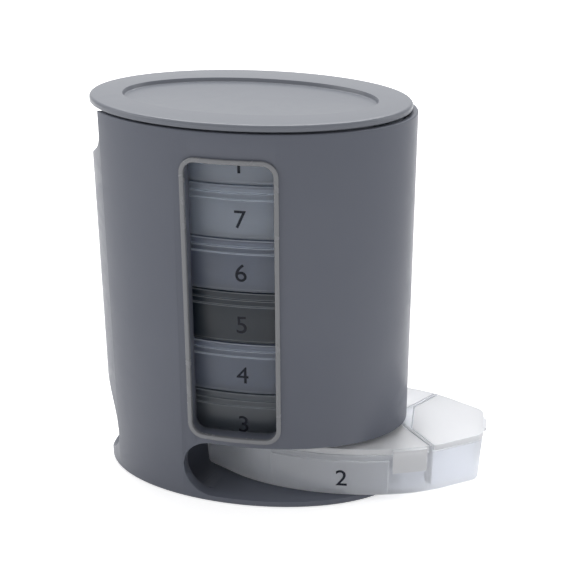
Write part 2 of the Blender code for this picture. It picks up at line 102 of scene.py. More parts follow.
def place_camera():
    lens = bpy.data.cameras.new("camera")
    lens.lens = FOCAL_LENGTH_MM
    lens.sensor_width = SENSOR_MM
    lens.shift_x = SHIFT_RIGHT
    lens.shift_y = SHIFT_UP
    lens.clip_start = NEAREST_SEEN
    camera = new_object("camera", lens)
    bearing = Matrix.Rotation(BEARING, 4, "Z")
    tilt = Matrix.Rotation(math.pi / 2 - HEIGHT_ANGLE, 4, "X")
    tip = Matrix.Rotation(CAMERA_TIP, 4, "Z")
    back = Matrix.Translation((0, 0, CAMERA_DISTANCE))
    camera.matrix_world = Matrix.Translation(LOOKS_AT) @ bearing @ tilt @ tip @ back
    bpy.context.scene.camera = camera
    return camera


camera = place_camera()
print("camera at", [round(value, 3) for value in camera.location])

# %% [markdown]
# ## Small tools for node trees
# Materials and Geometry Nodes are both trees of nodes. Written out in full, each node takes four or five
# lines, which hides what the tree does. These helpers add a node and feed its inputs in one call, so
# that a tree further down reads like a recipe.


# %% Add nodes and feed them
def feed(tree, socket, value):
    """Links a socket to another one, or sets it to a plain value."""
    if isinstance(value, bpy.types.NodeSocket):
        tree.links.new(value, socket)
    else:
        socket.default_value = value


def feed_in_order(tree, node, values):
    """Feeds a node's inputs one after the other, and gives its first output."""
    for socket, value in zip(node.inputs, values):
        feed(tree, socket, value)
    return node.outputs[0]


def add(tree, kind, settings=None, **values):
    """Adds a node. settings are its own choices, and values feed its inputs, with _ for a space."""
    node = tree.nodes.new(kind)
    for choice, value in (settings or {}).items():
        setattr(node, choice, value)
    for label, value in values.items():
        feed(tree, node.inputs[label.replace("_", " ")], value)
    return node


def geo(tree, kind, settings=None, **values):
    """Adds one of the Geometry Nodes, and gives its first output."""
    return add(tree, "GeometryNode" + kind, settings, **values).outputs[0]


def calc(tree, operation, *values):
    return feed_in_order(tree, add(tree, "ShaderNodeMath", {"operation": operation}), values)


def mix(tree, share, first, second):
    return add(tree, "ShaderNodeMix", Factor=share, A=first, B=second).outputs[0]


def vector_of(tree, x=0.0, y=0.0, z=0.0):
    return add(tree, "ShaderNodeCombineXYZ", X=x, Y=y, Z=z).outputs[0]


def parts_of(tree, vector):
    """The x, y and z of a vector."""
    return add(tree, "ShaderNodeSeparateXYZ", Vector=vector).outputs[:3]


def new_group(kind, name, inputs, outputs):
    """An empty node group, with its entry and leaving sockets by name.

    An input is a number or a material, which says its type and what it starts from, or else the
    name of a type.
    """
    tree = bpy.data.node_groups.new(name, kind)
    for label, start in inputs.items():
        known = {int: "Int", float: "Float", bpy.types.Material: "Material"}.get(type(start))
        socket_type = "NodeSocket" + (known or start)
        socket = tree.interface.new_socket(name=label, in_out="INPUT", socket_type=socket_type)
        if known:
            socket.default_value = start
    for label, kind_of_value in outputs.items():
        tree.interface.new_socket(name=label, in_out="OUTPUT", socket_type="NodeSocket" + kind_of_value)
    entry = tree.nodes.new("NodeGroupInput")
    leaving = tree.nodes.new("NodeGroupOutput")
    return tree, entry.outputs, leaving.inputs


print("tools for trees are ready")

# %% [markdown]
# ## Table, background and light
# The case was photographed on white with large soft lights, so its plastic has no hard highlights. The
# floor is a wide pale disc that keeps the shadow. The world shows plain white to the camera and in
# reflections, and lights the object less strongly than that. A wide lamp behind and above brightens the
# cover, as in the photograph, and a weaker one at each side shapes the barrel. The floor also glows a
# little to the camera and in reflections, so that it is white there and grey only in the shadow.

# %% Lay the floor and set the world
FLOOR_RADIUS = 3.0
FLOOR_BELOW = 0.00005
FLOOR_TONES = (0.82, 0.82, 0.83, 1), (0.86, 0.86, 0.86, 1)
FLOOR_CLOUDS_PER_METRE = 0.333
FLOOR_GLOW = 0.6
WORLD_LEVEL = 0.50


def seen_directly(tree):
    """1 for rays from the camera, from a reflection or through clear plastic, and 0 for light."""
    rays = add(tree, "ShaderNodeLightPath")
    seen = calc(tree, "MAXIMUM", rays.outputs["Is Camera Ray"], rays.outputs["Is Glossy Ray"])
    return calc(tree, "MAXIMUM", seen, rays.outputs["Is Transmission Ray"])


def new_material(name):
    made = bpy.data.materials.new(name)
    made.use_nodes = True
    return made, made.node_tree, made.node_tree.nodes["Principled BSDF"]


def set_inputs(shader, **values):
    """Sets a shader's own inputs to plain values, by name with _ for a space."""
    for label, value in values.items():
        shader.inputs[label.replace("_", " ")].default_value = value


@contextmanager
def opened(mesh):
    """Opens a mesh to be changed, and writes the changes back to it."""
    shape = bmesh.new()
    shape.from_mesh(mesh)
    yield shape
    shape.to_mesh(mesh)
    shape.free()


def lay_floor():
    floor = new_object("floor", bpy.data.meshes.new("floor"))
    with opened(floor.data) as shape:
        bmesh.ops.create_circle(shape, cap_ends=True, segments=96, radius=FLOOR_RADIUS)
        bmesh.ops.translate(shape, verts=shape.verts, vec=(0, 0, -FLOOR_BELOW))
    look, tree, shader = new_material("white_table")
    place = add(tree, "ShaderNodeTexCoord").outputs["Object"]
    clouds = add(tree, "ShaderNodeTexNoise", Vector=place, Scale=FLOOR_CLOUDS_PER_METRE, Detail=3.0)
    tone = add(tree, "ShaderNodeValToRGB", Fac=clouds.outputs["Fac"])
    for stop, colour in zip(tone.color_ramp.elements, FLOOR_TONES):
        stop.color = colour
    feed(tree, shader.inputs["Base Color"], tone.outputs["Color"])
    glow = calc(tree, "MULTIPLY", seen_directly(tree), FLOOR_GLOW)
    feed(tree, shader.inputs["Emission Strength"], glow)
    set_inputs(shader, Roughness=0.9, Specular_IOR_Level=0.1, Emission_Color=(1, 1, 1, 1))
    floor.data.materials.append(look)


def set_world():
    world = bpy.data.worlds.new("white_room")
    world.use_nodes = True
    bpy.context.scene.world = world
    tree = world.node_tree
    strength = calc(tree, "MULTIPLY_ADD", seen_directly(tree), 1 - WORLD_LEVEL, WORLD_LEVEL)
    background = tree.nodes["Background"]
    background.inputs["Color"].default_value = (1, 1, 1, 1)
    feed(tree, background.inputs["Strength"], strength)


lay_floor()
set_world()
bpy.context.scene.view_settings.view_transform = "Standard"
print("floor radius", FLOOR_RADIUS, "world level", WORLD_LEVEL)


# %% Hang the lamps
def hang_lamp(name, place, width, height, watts):
    """A soft rectangular lamp that faces the middle of the case."""
    light = bpy.data.lights.new(name, "AREA")
    light.shape = "RECTANGLE"
    light.size = width
    light.size_y = height
    light.energy = watts
    lamp = new_object(name, light)
    lamp.location = place
    lamp.rotation_euler = (LOOKS_AT - Vector(place)).to_track_quat("-Z", "Y").to_euler()


hang_lamp("lamp_above", (-0.15, 0.75, 1.25), 1.2, 0.9, 17)
hang_lamp("lamp_left", (-1.3, -0.5, 0.7), 0.9, 0.9, 4.5)
hang_lamp("lamp_right", (1.3, 0.1, 0.6), 0.7, 0.9, 2.8)

# %% [markdown]
# ## Finishes
# Moulded plastic is never one flat colour. The mould leaves a fine grain, the surface is a little
# glossier in some places than in others, and hands leave faint marks. All the plastics here share those
# three effects, so they are one node group with its own inputs, and each plastic gives it other values.
# The group puts out only values. The shader, and all that depends on the view, stay in the material.


# %% Make the moulded skin that all the plastics share
GRAIN_IN_TONE = 0.25
RUBBED_FROM = 0.42
RUBBED_TO = 0.72


def moulded_skin_group():
    tree, entry, leaving = new_group(
        "ShaderNodeTree",
        "moulded_skin",
        {"Place": "Vector", "Grain per Metre": 2600.0, "Patches per Metre": 18.0, "Marks per Metre": 90.0},
        {"Tone": "Float", "Dullness": "Float", "Height": "Float"},
    )

    def noise(scale, detail, **values):
        values.update(Vector=entry["Place"], Scale=entry[scale], Detail=detail)
        return add(tree, "ShaderNodeTexNoise", **values).outputs["Fac"]

    grain = noise("Grain per Metre", detail=2.0)
    patches = noise("Patches per Metre", detail=3.0)
    marks = noise("Marks per Metre", detail=5.0, Roughness=0.65, Distortion=1.2)
    tone = calc(tree, "MULTIPLY_ADD", grain, GRAIN_IN_TONE, -GRAIN_IN_TONE / 2)
    feed(tree, leaving["Tone"], calc(tree, "ADD", tone, patches))
    rubbed = add(tree, "ShaderNodeMapRange", Value=marks, From_Min=RUBBED_FROM, From_Max=RUBBED_TO)
    feed(tree, leaving["Dullness"], rubbed.outputs["Result"])
    feed(tree, leaving["Height"], grain)
    return tree


skin_group = moulded_skin_group()
print("group", skin_group.name, "with", len(skin_group.nodes), "nodes")


# %% Give each plastic its colour, gloss and grain
FROSTED_SKIN = {"smooth": 0.34, "dull": 0.42, "grain_depth": 0.000003, "grain_per_metre": 1800.0}


def mix_colours(tree, share, first, second):
    node = add(tree, "ShaderNodeMix", {"data_type": "RGBA"})
    feed(tree, node.inputs[0], share)
    feed(tree, node.inputs[6], (*first, 1))
    feed(tree, node.inputs[7], (*second, 1))
    return node.outputs[2]


def plastic(name, darker, lighter, smooth, dull, grain_depth, grain_per_metre=2600.0, **settings):
    """A moulded plastic between two colours and two values of roughness. Depth is in metres."""
    look, tree, shader = new_material(name)
    place = add(tree, "ShaderNodeTexCoord").outputs["Object"]
    skin = add(tree, "ShaderNodeGroup", {"node_tree": skin_group}, Place=place)
    skin.inputs["Grain per Metre"].default_value = grain_per_metre
    feed(tree, shader.inputs["Base Color"], mix_colours(tree, skin.outputs["Tone"], darker, lighter))
    gloss = add(tree, "ShaderNodeMapRange", Value=skin.outputs["Dullness"], To_Min=smooth, To_Max=dull)
    feed(tree, shader.inputs["Roughness"], gloss.outputs["Result"])
    bump = add(tree, "ShaderNodeBump", Height=skin.outputs["Height"], Distance=grain_depth)
    feed(tree, shader.inputs["Normal"], bump.outputs["Normal"])
    set_inputs(shader, **settings)
    return look


def frosted(name, darker, lighter, clear, level, through):
    """A see-through plastic: how clear it is, how much its skin reflects, and what its shadow lets by."""
    look = plastic(name, darker, lighter, **FROSTED_SKIN, IOR=1.49)
    tree, shader = look.node_tree, look.node_tree.nodes["Principled BSDF"]
    set_inputs(shader, Transmission_Weight=clear, Specular_IOR_Level=level)
    rays = add(tree, "ShaderNodeLightPath")
    left = calc(tree, "MULTIPLY_ADD", rays.outputs["Is Shadow Ray"], -through, 1.0)
    feed(tree, shader.inputs["Alpha"], left)
    return look


barrel_look = plastic(
    "satin_blue_grey", (0.104, 0.113, 0.144), (0.123, 0.134, 0.166), 0.34, 0.44, 0.000008,
    Specular_IOR_Level=0.35, Coat_Weight=0.02, Coat_Roughness=0.15,
)
# The cover is the barrel's plastic with a paler colour: painted light for its top, which faces the lamp
# above.
cover_painted_light_look = plastic(
    "satin_grey_painted_light", (0.155, 0.167, 0.197), (0.167, 0.179, 0.210), 0.30, 0.34, 0.000002,
    Specular_IOR_Level=0.4, Coat_Weight=0.12, Coat_Roughness=0.12,
)
# The bead is glossier than the wall, and its paler colour is a painted highlight.
bead_painted_highlight_look = plastic("glossy_bead_painted_highlight", (0.200, 0.205, 0.218), (0.214, 0.219, 0.234), 0.24, 0.30, 0.000002)
ink_look = plastic(
    "printed_ink", (0.005, 0.006, 0.012), (0.012, 0.014, 0.024), 0.50, 0.66, 0.000004, Specular_IOR_Level=0.2
)
tray_look = frosted("frosted_clear", (0.85, 0.875, 0.93), (0.91, 0.925, 0.96), 0.76, 0.4, 0.7)
lid_look = frosted("frosted_lid", (0.73, 0.74, 0.765), (0.79, 0.795, 0.815), 0.28, 0.3, 0.8)
# A paler, less clear finish for the rounded edges of the frosted trays and lids: a painted highlight.
painted_highlight_edge = frosted("painted_highlight_frosted_edge", (0.80, 0.82, 0.86), (0.86, 0.88, 0.91), 0.35, 0.5, 0.6)
# Darker, bluer copies of the frosted plastic: painted shade for the trays high and deep in the barrel.
painted_shade_high_look = frosted("frosted_painted_shade_high", (0.69, 0.77, 0.90), (0.76, 0.83, 0.94), 0.85, 0.25, 0.6)
painted_shade_deep_look = frosted("frosted_painted_shade_deep", (0.38, 0.44, 0.58), (0.46, 0.52, 0.65), 0.86, 0.25, 0.6)
# A dimmer edge finish for the trays inside the barrel: a painted highlight with painted shade.
painted_highlight_and_shade_edge = frosted("painted_highlight_and_shade_edge", (0.62, 0.68, 0.78), (0.70, 0.76, 0.85), 0.35, 0.5, 0.5)
smoked_look = frosted("frosted_smoke", (0.024, 0.044, 0.074), (0.042, 0.066, 0.102), 0.80, 0.15, 0.5)
# A paler copy of the smoke for Wednesday: painted light at the foot of the window.
smoke_painted_lighter_look = frosted("frosted_smoke_painted_lighter", (0.15, 0.18, 0.22), (0.20, 0.23, 0.28), 0.80, 0.25, 0.5)
# A paler edge finish for the smoked trays: a painted highlight.
painted_highlight_smoke_edge = frosted("painted_highlight_smoke_edge", (0.30, 0.33, 0.37), (0.36, 0.39, 0.43), 0.35, 0.4, 0.4)
print("finishes", [look.name for look in bpy.data.materials])

# %% [markdown]
# ## Outlines
# Every moulded piece here starts from a few flat outlines: an oval for the barrel and the cover, the
# tray's oval with its blunt nose, a box with round corners for the window. They are lists of points that
# come from a formula, so a size is changed in one place and all that follows from it stays right.

# %% Read the driving sizes
RING_STEPS = 240
ROUND_STEPS = 14
WELL_STEPS = 96
TRAY_ARC_STEPS = 24
NOSE_CORNER_STEPS = 12
EDGE_STEPS = 4
EDGE_ROUNDING_STEPS = 2
ROUNDED_ABOVE = math.radians(40)
SHARP_ABOVE = math.radians(35)
PAST = 0.004
WELD = 0.000004
FINE_WELD = WELD / 4

DAYS = ["monday", "tuesday", "wednesday", "thursday", "friday", "saturday", "sunday"]
DAYS_FROM_THE_BOTTOM = DAYS[1:] + DAYS[:1]
BARREL_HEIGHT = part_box("barrel")[1].z
TRAY_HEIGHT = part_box("tray_monday")[1].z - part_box("tray_monday")[0].z
BARREL_FLOOR = 0.0022
STACK_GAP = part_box("tray_tuesday")[0].z - BARREL_FLOOR
TRAY_OVAL_HALF_LENGTH = 0.0443
TRAY_HALF_WIDTH = 0.0233
NOSE_REACH = 0.0007
TRAY_HALF_LENGTH = TRAY_OVAL_HALF_LENGTH + NOSE_REACH
print("barrel", round(BARREL_HEIGHT * 1000, 1), "mm tall, tray", round(TRAY_HEIGHT * 1000, 1), "mm")


# %% Draw ovals, arcs and rounded boxes
def oval(half_length, half_width, middle_x=0.0, steps=RING_STEPS):
    turns = [2 * math.pi * step / steps for step in range(steps)]
    return [(middle_x + half_length * math.cos(t), half_width * math.sin(t)) for t in turns]


def arc(middle_u, middle_v, radius_u, radius_v, start, end, steps):
    """Points along an elliptical arc, with start and end in degrees."""
    turns = [math.radians(start + (end - start) * step / steps) for step in range(steps + 1)]
    return [(middle_u + radius_u * math.cos(t), middle_v + radius_v * math.sin(t)) for t in turns]


def quarter(steps):
    """Pairs (1 - cosine, 1 - sine) through a quarter turn, which round an edge off."""
    turns = [math.pi / 2 * step / steps for step in range(steps + 1)]
    return [(1 - math.cos(turn), 1 - math.sin(turn)) for turn in turns]


def rounded_box(half_width, bottom, top, radius):
    reach = half_width - radius
    points = arc(reach, bottom + radius, radius, radius, -90, 0, ROUND_STEPS)
    points += arc(reach, top - radius, radius, radius, 0, 90, ROUND_STEPS)
    points += arc(-reach, top - radius, radius, radius, 90, 180, ROUND_STEPS)
    points += arc(-reach, bottom + radius, radius, radius, 180, 270, ROUND_STEPS)
    return points


def clip(points, normal_x, normal_y, distance):
    """The part of a convex outline where normal . point is at least distance."""
    kept = []
    for here, after in zip(points, points[1:] + points[:1]):
        depth_here = normal_x * here[0] + normal_y * here[1] - distance
        depth_after = normal_x * after[0] + normal_y * after[1] - distance
        if depth_here >= 0:
            kept.append(here)
        if (depth_here >= 0) != (depth_after >= 0):
            share = depth_here / (depth_here - depth_after)
            kept.append(tuple(a + share * (b - a) for a, b in zip(here, after)))
    return kept


def scaled(points, factor, about=(0.0, 0.0)):
    return [tuple(c + factor * (value - c) for c, value in zip(about, point)) for point in points]


def middle_of(points):
    return tuple(sum(values) / len(points) for values in zip(*points))


print("an oval has", len(oval(1, 1)), "points")

# %% [markdown]
# ## Solids from outlines
# A moulded part is easiest to think of as solids that are added and cut away, which is also how a tool
# maker cuts a mould. A loft joins outlines into a closed solid, and a Boolean joins or cuts two solids.
# The exact solver keeps thin walls clean. A small bevel then softens the edges, as no moulded edge is
# perfectly sharp.


# %% Loft solids and join or cut them
def loft(name, rings):
    """A closed solid through rings of equally many points (x, y, z), capped at both ends."""
    made = new_object(name, bpy.data.meshes.new(name))
    with opened(made.data) as shape:
        rows = [[shape.verts.new(point) for point in ring] for ring in rings]
        count = len(rows[0])
        for low, high in zip(rows, rows[1:]):
            for i in range(count):
                j = (i + 1) % count
                shape.faces.new((low[i], low[j], high[j], high[i]))
        shape.faces.new(list(reversed(rows[0])))
        shape.faces.new(rows[-1])
        bmesh.ops.recalc_face_normals(shape, faces=shape.faces)
    return made


def upright(name, sections):
    return loft(name, [[(x, y, z) for x, y in points] for points, z in sections])


def along_z(name, points, start, end):
    return upright(name, [(points, start), (points, end)])


def along_y(name, points, start, end):
    return loft(name, [[(x, y, z) for x, z in points] for y in (start, end)])


def along_x(name, points, start, end):
    return loft(name, [[(x, y, z) for y, z in points] for x in (start, end)])


def keep_result(thing):
    """Gives a thing the plain mesh that its modifiers make of it, and removes them."""
    bpy.context.view_layer.update()
    graph = bpy.context.evaluated_depsgraph_get()
    thing.data = bpy.data.meshes.new_from_object(thing.evaluated_get(graph))
    thing.modifiers.clear()
    return thing


def weld(thing, distance):
    with opened(thing.data) as shape:
        bmesh.ops.remove_doubles(shape, verts=shape.verts, dist=distance)
    return thing


def combine(target, tool, operation):
    """Applies one Boolean operation to target, and removes the tool."""
    change = target.modifiers.new("change", "BOOLEAN")
    change.operation = operation
    change.solver = "EXACT"
    change.object = tool
    keep_result(target)
    bpy.data.objects.remove(tool)
    return weld(target, WELD)


def cut(target, tool):
    return combine(target, tool, "DIFFERENCE")


def join(target, tool):
    return combine(target, tool, "UNION")


def keep_inside(target, tool):
    return combine(target, tool, "INTERSECT")


print("solids can be lofted, joined and cut")


# %% Soften edges and give a piece its finish
def split_large_faces(thing):
    """Cuts every face of more than four corners into triangles, so that moved corners can't fold it over."""
    with opened(thing.data) as shape:
        large = [face for face in shape.faces if len(face.verts) > 4]
        bmesh.ops.triangulate(shape, faces=large, ngon_method="EAR_CLIP")


def soften(thing, radius, edge_highlight_slot=-1):
    """Rounds every edge that is sharper than an angle, and may give the rounding its own paler finish, a
    painted highlight.
    """
    split_large_faces(thing)
    bevel = thing.modifiers.new("soften", "BEVEL")
    bevel.width = radius
    bevel.segments = EDGE_ROUNDING_STEPS
    bevel.limit_method = "ANGLE"
    bevel.angle_limit = ROUNDED_ABOVE
    bevel.use_clamp_overlap = False
    bevel.material = edge_highlight_slot
    return keep_result(thing)


def smooth(thing):
    thing.data.shade_smooth()
    thing.data.set_sharp_from_angle(angle=SHARP_ABOVE)
    return thing


def dress(thing, *looks):
    thing.data.materials.clear()
    for look in looks:
        thing.data.materials.append(look)
    return smooth(thing)


def settle(piece, body, slot, *nodes):
    """Makes a finished piece move with its body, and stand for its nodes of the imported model."""
    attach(piece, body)
    if nodes:
        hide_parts(*nodes)
    print(piece.name, "has", len(piece.data.polygons), "faces and rides on", body)


# %% [markdown]
# ## A tree that lofts an oval form
# The barrel and the cover follow one rule: each level is an oval, and only its size changes with the
# height. Geometry Nodes can hold that rule. The tree starts from a short profile, one point for each
# level. A point's x is how large the oval is, its y is how far the wall is set in, and its z is the
# height. A grid is bent round the oval, and its two long edges meet and are welded. Where the set-in is
# as large as the half width, the ring closes to a line, which makes the flat ends.


# %% Build the oval form's tree
def finish_tree(tree, geometry, look, leaving):
    """Ends a tree of Geometry Nodes: real copies instead of instances, then the material."""
    real = geo(tree, "RealizeInstances", Geometry=geometry)
    feed(tree, leaving, geo(tree, "SetMaterial", Geometry=real, Material=look))
    tree.is_modifier = True
    return tree


def oval_form_tree():
    tree, entry, leaving = new_group(
        "GeometryNodeTree",
        "oval_form",
        {
            "Profile": "Geometry",
            "Half Length": 0.05,
            "Half Width": 0.03,
            "Middle X": 0.0,
            "Steps": RING_STEPS,
            "Finish": "Material",
        },
        {"Form": "Geometry"},
    )
    size = add(tree, "GeometryNodeAttributeDomainSize", Geometry=entry["Profile"])
    levels = size.outputs["Point Count"]
    grid = geo(tree, "MeshGrid", Vertices_X=calc(tree, "ADD", entry["Steps"], 1), Vertices_Y=levels)
    index = geo(tree, "InputIndex")
    column = calc(tree, "FLOOR", calc(tree, "DIVIDE", index, levels))
    turn = calc(tree, "DIVIDE", calc(tree, "MULTIPLY", column, 2 * math.pi), entry["Steps"])
    point = geo(
        tree,
        "SampleIndex",
        {"data_type": "FLOAT_VECTOR"},
        Geometry=entry["Profile"],
        Value=geo(tree, "InputPosition"),
        Index=calc(tree, "MODULO", index, levels),
    )
    share, set_in, height = parts_of(tree, point)
    reach_x = calc(tree, "SUBTRACT", calc(tree, "MULTIPLY", entry["Half Length"], share), set_in)
    reach_y = calc(tree, "SUBTRACT", calc(tree, "MULTIPLY", entry["Half Width"], share), set_in)
    x = calc(tree, "MULTIPLY_ADD", reach_x, calc(tree, "COSINE", turn), entry["Middle X"])
    y = calc(tree, "MULTIPLY", reach_y, calc(tree, "SINE", turn))
    bent = geo(tree, "SetPosition", Geometry=grid, Position=vector_of(tree, x, y, height))
    closed = geo(tree, "MergeByDistance", Geometry=bent, Distance=FINE_WELD)
    return finish_tree(tree, closed, entry["Finish"], leaving["Form"])


def grow_piece(name, tree, points, **sizes):
    """Runs a tree on a few points, and keeps a plain mesh.

    sizes replace the start values of the tree's inputs, by name with _ for a space.
    """
    piece = new_object(name, bpy.data.meshes.new(name))
    piece.data.from_pydata(points, [], [])
    modifier = piece.modifiers.new(tree.name, "NODES")
    modifier.node_group = tree
    inputs = [item for item in tree.interface.items_tree if item.in_out == "INPUT"]
    known = {item.name: item.identifier for item in inputs}
    for label, value in sizes.items():
        modifier[known[label.replace("_", " ")]] = value
    keep_result(piece)
    with opened(piece.data) as shape:
        bmesh.ops.recalc_face_normals(shape, faces=shape.faces)
    return piece


def oval_piece(name, profile, half_length, half_width, look, middle_x=0.0):
    """A form from profile points (share, set-in, height), with one more at each end to close it."""
    start, end = [(share, half_width * share, height) for share, _, height in (profile[0], profile[-1])]
    return grow_piece(
        name,
        oval_tree,
        [start, *profile, end],
        Half_Length=half_length,
        Half_Width=half_width,
        Middle_X=middle_x,
        Finish=look,
    )


oval_tree = oval_form_tree()
print("tree", oval_tree.name, "with", len(oval_tree.nodes), "nodes")

# %% [markdown]
# ## The barrel
# The barrel is one moulding: an oval wall that widens a little towards its rim, with a floor, a tall
# window in front, a slot at the right that runs through from front to back, a finger hole at the lower
# left to push the tray out, and a thumb notch in the rim above it. It could be modelled as a shell with
# faces pulled about, but its openings cross curved walls, so solids that are cut give truer edges.

# %% Keep the barrel's sizes
BARREL_WALL = 0.0022
BARREL_DRAFT = 0.98
FOOT_RADIUS = 0.0008
RIM_RADIUS = 0.0004
TRAY_END_CLEARANCE = 0.0019
TRAY_SIDE_CLEARANCE = 0.0018
END_GUIDE_DEPTH = 0.0010
SIDE_GUIDE_DEPTH = 0.0029
BURIED = 0.0006
WELL_HALF_LENGTH = TRAY_HALF_LENGTH + TRAY_END_CLEARANCE
WELL_HALF_WIDTH = TRAY_HALF_WIDTH + TRAY_SIDE_CLEARANCE
BARREL_HALF_LENGTH = WELL_HALF_LENGTH + END_GUIDE_DEPTH + BARREL_WALL
BARREL_HALF_WIDTH = WELL_HALF_WIDTH + SIDE_GUIDE_DEPTH + BARREL_WALL
BARREL_EDGE_RADIUS = 0.0003
BARREL_WELD = 0.00006
FAR = 2 * BARREL_HALF_LENGTH
print("barrel is", round(2000 * BARREL_HALF_LENGTH, 1), "by", round(2000 * BARREL_HALF_WIDTH, 1), "mm")


# %% Shape the barrel's wall
def draft_share(height):
    """How large the barrel's oval is at a height, against its size at the rim."""
    return BARREL_DRAFT + (1 - BARREL_DRAFT) * height / BARREL_HEIGHT


def rounded_edge(radius, height):
    """Profile points (share, set-in, height) from the wall round to the flat foot or rim."""
    side = 1 if height < BARREL_HEIGHT / 2 else -1
    heights = [(set_in, height + side * radius * drop) for set_in, drop in quarter(EDGE_STEPS)]
    return [(draft_share(z), radius * set_in, z) for set_in, z in heights]


def barrel_form(name, profile):
    return oval_piece(name, profile, BARREL_HALF_LENGTH, BARREL_HALF_WIDTH, barrel_look)


def wall_form(name, set_in, bottom, top):
    return barrel_form(name, [(draft_share(z), set_in, z) for z in (bottom, top)])


outer_profile = rounded_edge(FOOT_RADIUS, 0.0)[::-1] + rounded_edge(RIM_RADIUS, BARREL_HEIGHT)
barrel = barrel_form("moulded_barrel", outer_profile)
cut(barrel, wall_form("cavity", BARREL_WALL, BARREL_FLOOR, BARREL_HEIGHT + PAST))
print("wall has", len(barrel.data.polygons), "faces")

# %% Keep the openings' sizes
SLOT_HEADROOM = 0.0018
SLOT_LEFT_END = -0.0169
SLOT_FLANGE = 0.0016
SLOT_TOP = BARREL_FLOOR + STACK_GAP + TRAY_HEIGHT + SLOT_HEADROOM
WINDOW_HALF_WIDTH = 0.0133
WINDOW_BOTTOM = SLOT_TOP + 0.0032
WINDOW_TOP = BARREL_HEIGHT - 0.0090
WINDOW_CORNER_RADIUS = 0.0036
BEAD_WIDTH = 0.0014
FINGER_HOLE_HALF_WIDTH = 0.0146
FINGER_HOLE_LOWER = 0.0100
FINGER_HOLE_UPPER = 0.0203
NOTCH_HALF_WIDTH = 0.0146
NOTCH_BOTTOM = BARREL_HEIGHT - 0.0165
NOTCH_ROUND = 0.0085
print("window is", round(1000 * (WINDOW_TOP - WINDOW_BOTTOM), 1), "mm tall")


# %% Line the slot and the window, and cut the openings
def slot_outline(grow=0.0):
    radius = (SLOT_TOP - BARREL_FLOOR) / 2 + grow
    middle_x = SLOT_LEFT_END + radius - grow
    middle_z = (SLOT_TOP + BARREL_FLOOR) / 2
    points = arc(middle_x, middle_z, radius, radius, 90, 270, 2 * ROUND_STEPS)
    return points + [(FAR, middle_z - radius), (FAR, middle_z + radius)]


def window_outline(grow=0.0):
    bottom, top = WINDOW_BOTTOM - grow, WINDOW_TOP + grow
    return rounded_box(WINDOW_HALF_WIDTH + grow, bottom, top, WINDOW_CORNER_RADIUS + grow)


def lining(name, outline, start):
    """A rim inside the wall round an opening, which reaches in to the space for the trays."""
    made = along_y(name, outline, -FAR, start)
    keep_inside(made, wall_form("shell", BURIED, BARREL_FLOOR / 2, BARREL_HEIGHT))
    well = oval(WELL_HALF_LENGTH, WELL_HALF_WIDTH, steps=WELL_STEPS)
    return cut(made, along_z("well", well, 0, BARREL_HEIGHT + PAST))


def cut_left_end(name, outline):
    """Cuts an outline of points (y, z) from the barrel's left end."""
    cut(barrel, along_x(name, outline, -FAR, -BARREL_HALF_LENGTH / 2))


def finger_hole():
    middle = BARREL_FLOOR + FINGER_HOLE_LOWER
    width = FINGER_HOLE_HALF_WIDTH
    steps = 2 * ROUND_STEPS + 1
    outline = arc(0, middle, width, FINGER_HOLE_UPPER, 0, 180, steps)
    return outline + arc(0, middle, width, FINGER_HOLE_LOWER, 180, 360, steps)[1:-1]


def thumb_notch():
    width, top = NOTCH_HALF_WIDTH, BARREL_HEIGHT + PAST
    outline = arc(0, NOTCH_BOTTOM + NOTCH_ROUND, width, NOTCH_ROUND, 180, 360, 2 * ROUND_STEPS + 1)
    return outline + [(width, top), (-width, top)]


join(barrel, lining("slot_lining", slot_outline(SLOT_FLANGE), FAR))
join(barrel, lining("window_lining", window_outline(BEAD_WIDTH), 0))
cut(barrel, along_y("window", window_outline(), -FAR, 0))
cut(barrel, along_y("slot", slot_outline(), -FAR, FAR))
cut_left_end("finger_hole", finger_hole())
cut_left_end("thumb_notch", thumb_notch())
weld(barrel, BARREL_WELD)
soften(barrel, BARREL_EDGE_RADIUS)
dress(barrel, barrel_look)
settle(barrel, "barrel", "barrel_plastic", "barrel")

# %% [markdown]
# ## The bead round the window
# A raised bead frames the window: a flat band with rounded edges, glossier than the wall, and paler
# because a highlight is painted into its colour. It lies on a curved, tapered wall, so its path is worked
# out instead of drawn. The tree makes a box with round corners, moves each of its points back onto the
# barrel's wall, and sweeps the band's section along it.
# Each point's normal is set to face straight out of the wall, so that the band never twists.


# %% Work out where an oval wall is
def oval_wall_group():
    """How far a drafted oval wall is from the middle, across its length, at a place along it and up."""
    tree, entry, leaving = new_group(
        "GeometryNodeTree",
        "oval_wall",
        dict.fromkeys(("Along", "Height", "Half Length", "Half Width", "Draft", "Full Height"), 1.0),
        {"Across": "Float"},
    )
    rise = calc(tree, "DIVIDE", entry["Height"], entry["Full Height"])
    lost = calc(tree, "SUBTRACT", 1.0, entry["Draft"])
    share = calc(tree, "MULTIPLY_ADD", lost, rise, entry["Draft"])
    along = calc(tree, "DIVIDE", entry["Along"], calc(tree, "MULTIPLY", entry["Half Length"], share))
    left = calc(tree, "SQRT", calc(tree, "SUBTRACT", 1.0, calc(tree, "MULTIPLY", along, along)))
    width = calc(tree, "MULTIPLY", entry["Half Width"], share)
    feed(tree, leaving["Across"], calc(tree, "MULTIPLY", width, left))
    return tree


def wall_at(tree, along, height, half_length, half_width, draft, full_height):
    values = (along, height, half_length, half_width, draft, full_height)
    return feed_in_order(tree, add(tree, "GeometryNodeGroup", {"node_tree": wall_group}), values)


wall_group = oval_wall_group()
print("group", wall_group.name, "with", len(wall_group.nodes), "nodes")

# %% Sweep the bead
BEAD_OVERLAP = 0.00005
BEAD_PROUD = 0.0008
BEAD_EDGE_RADIUS = 0.0003
BEAD_SPACING = 0.0006


def round_rectangle(tree, width, height, radius, steps):
    """A rectangle with round corners, as a closed curve."""
    box = geo(tree, "CurvePrimitiveQuadrilateral", Width=width, Height=height)
    return geo(tree, "FilletCurve", {"mode": "POLY"}, Curve=box, Radius=radius, Count=steps)


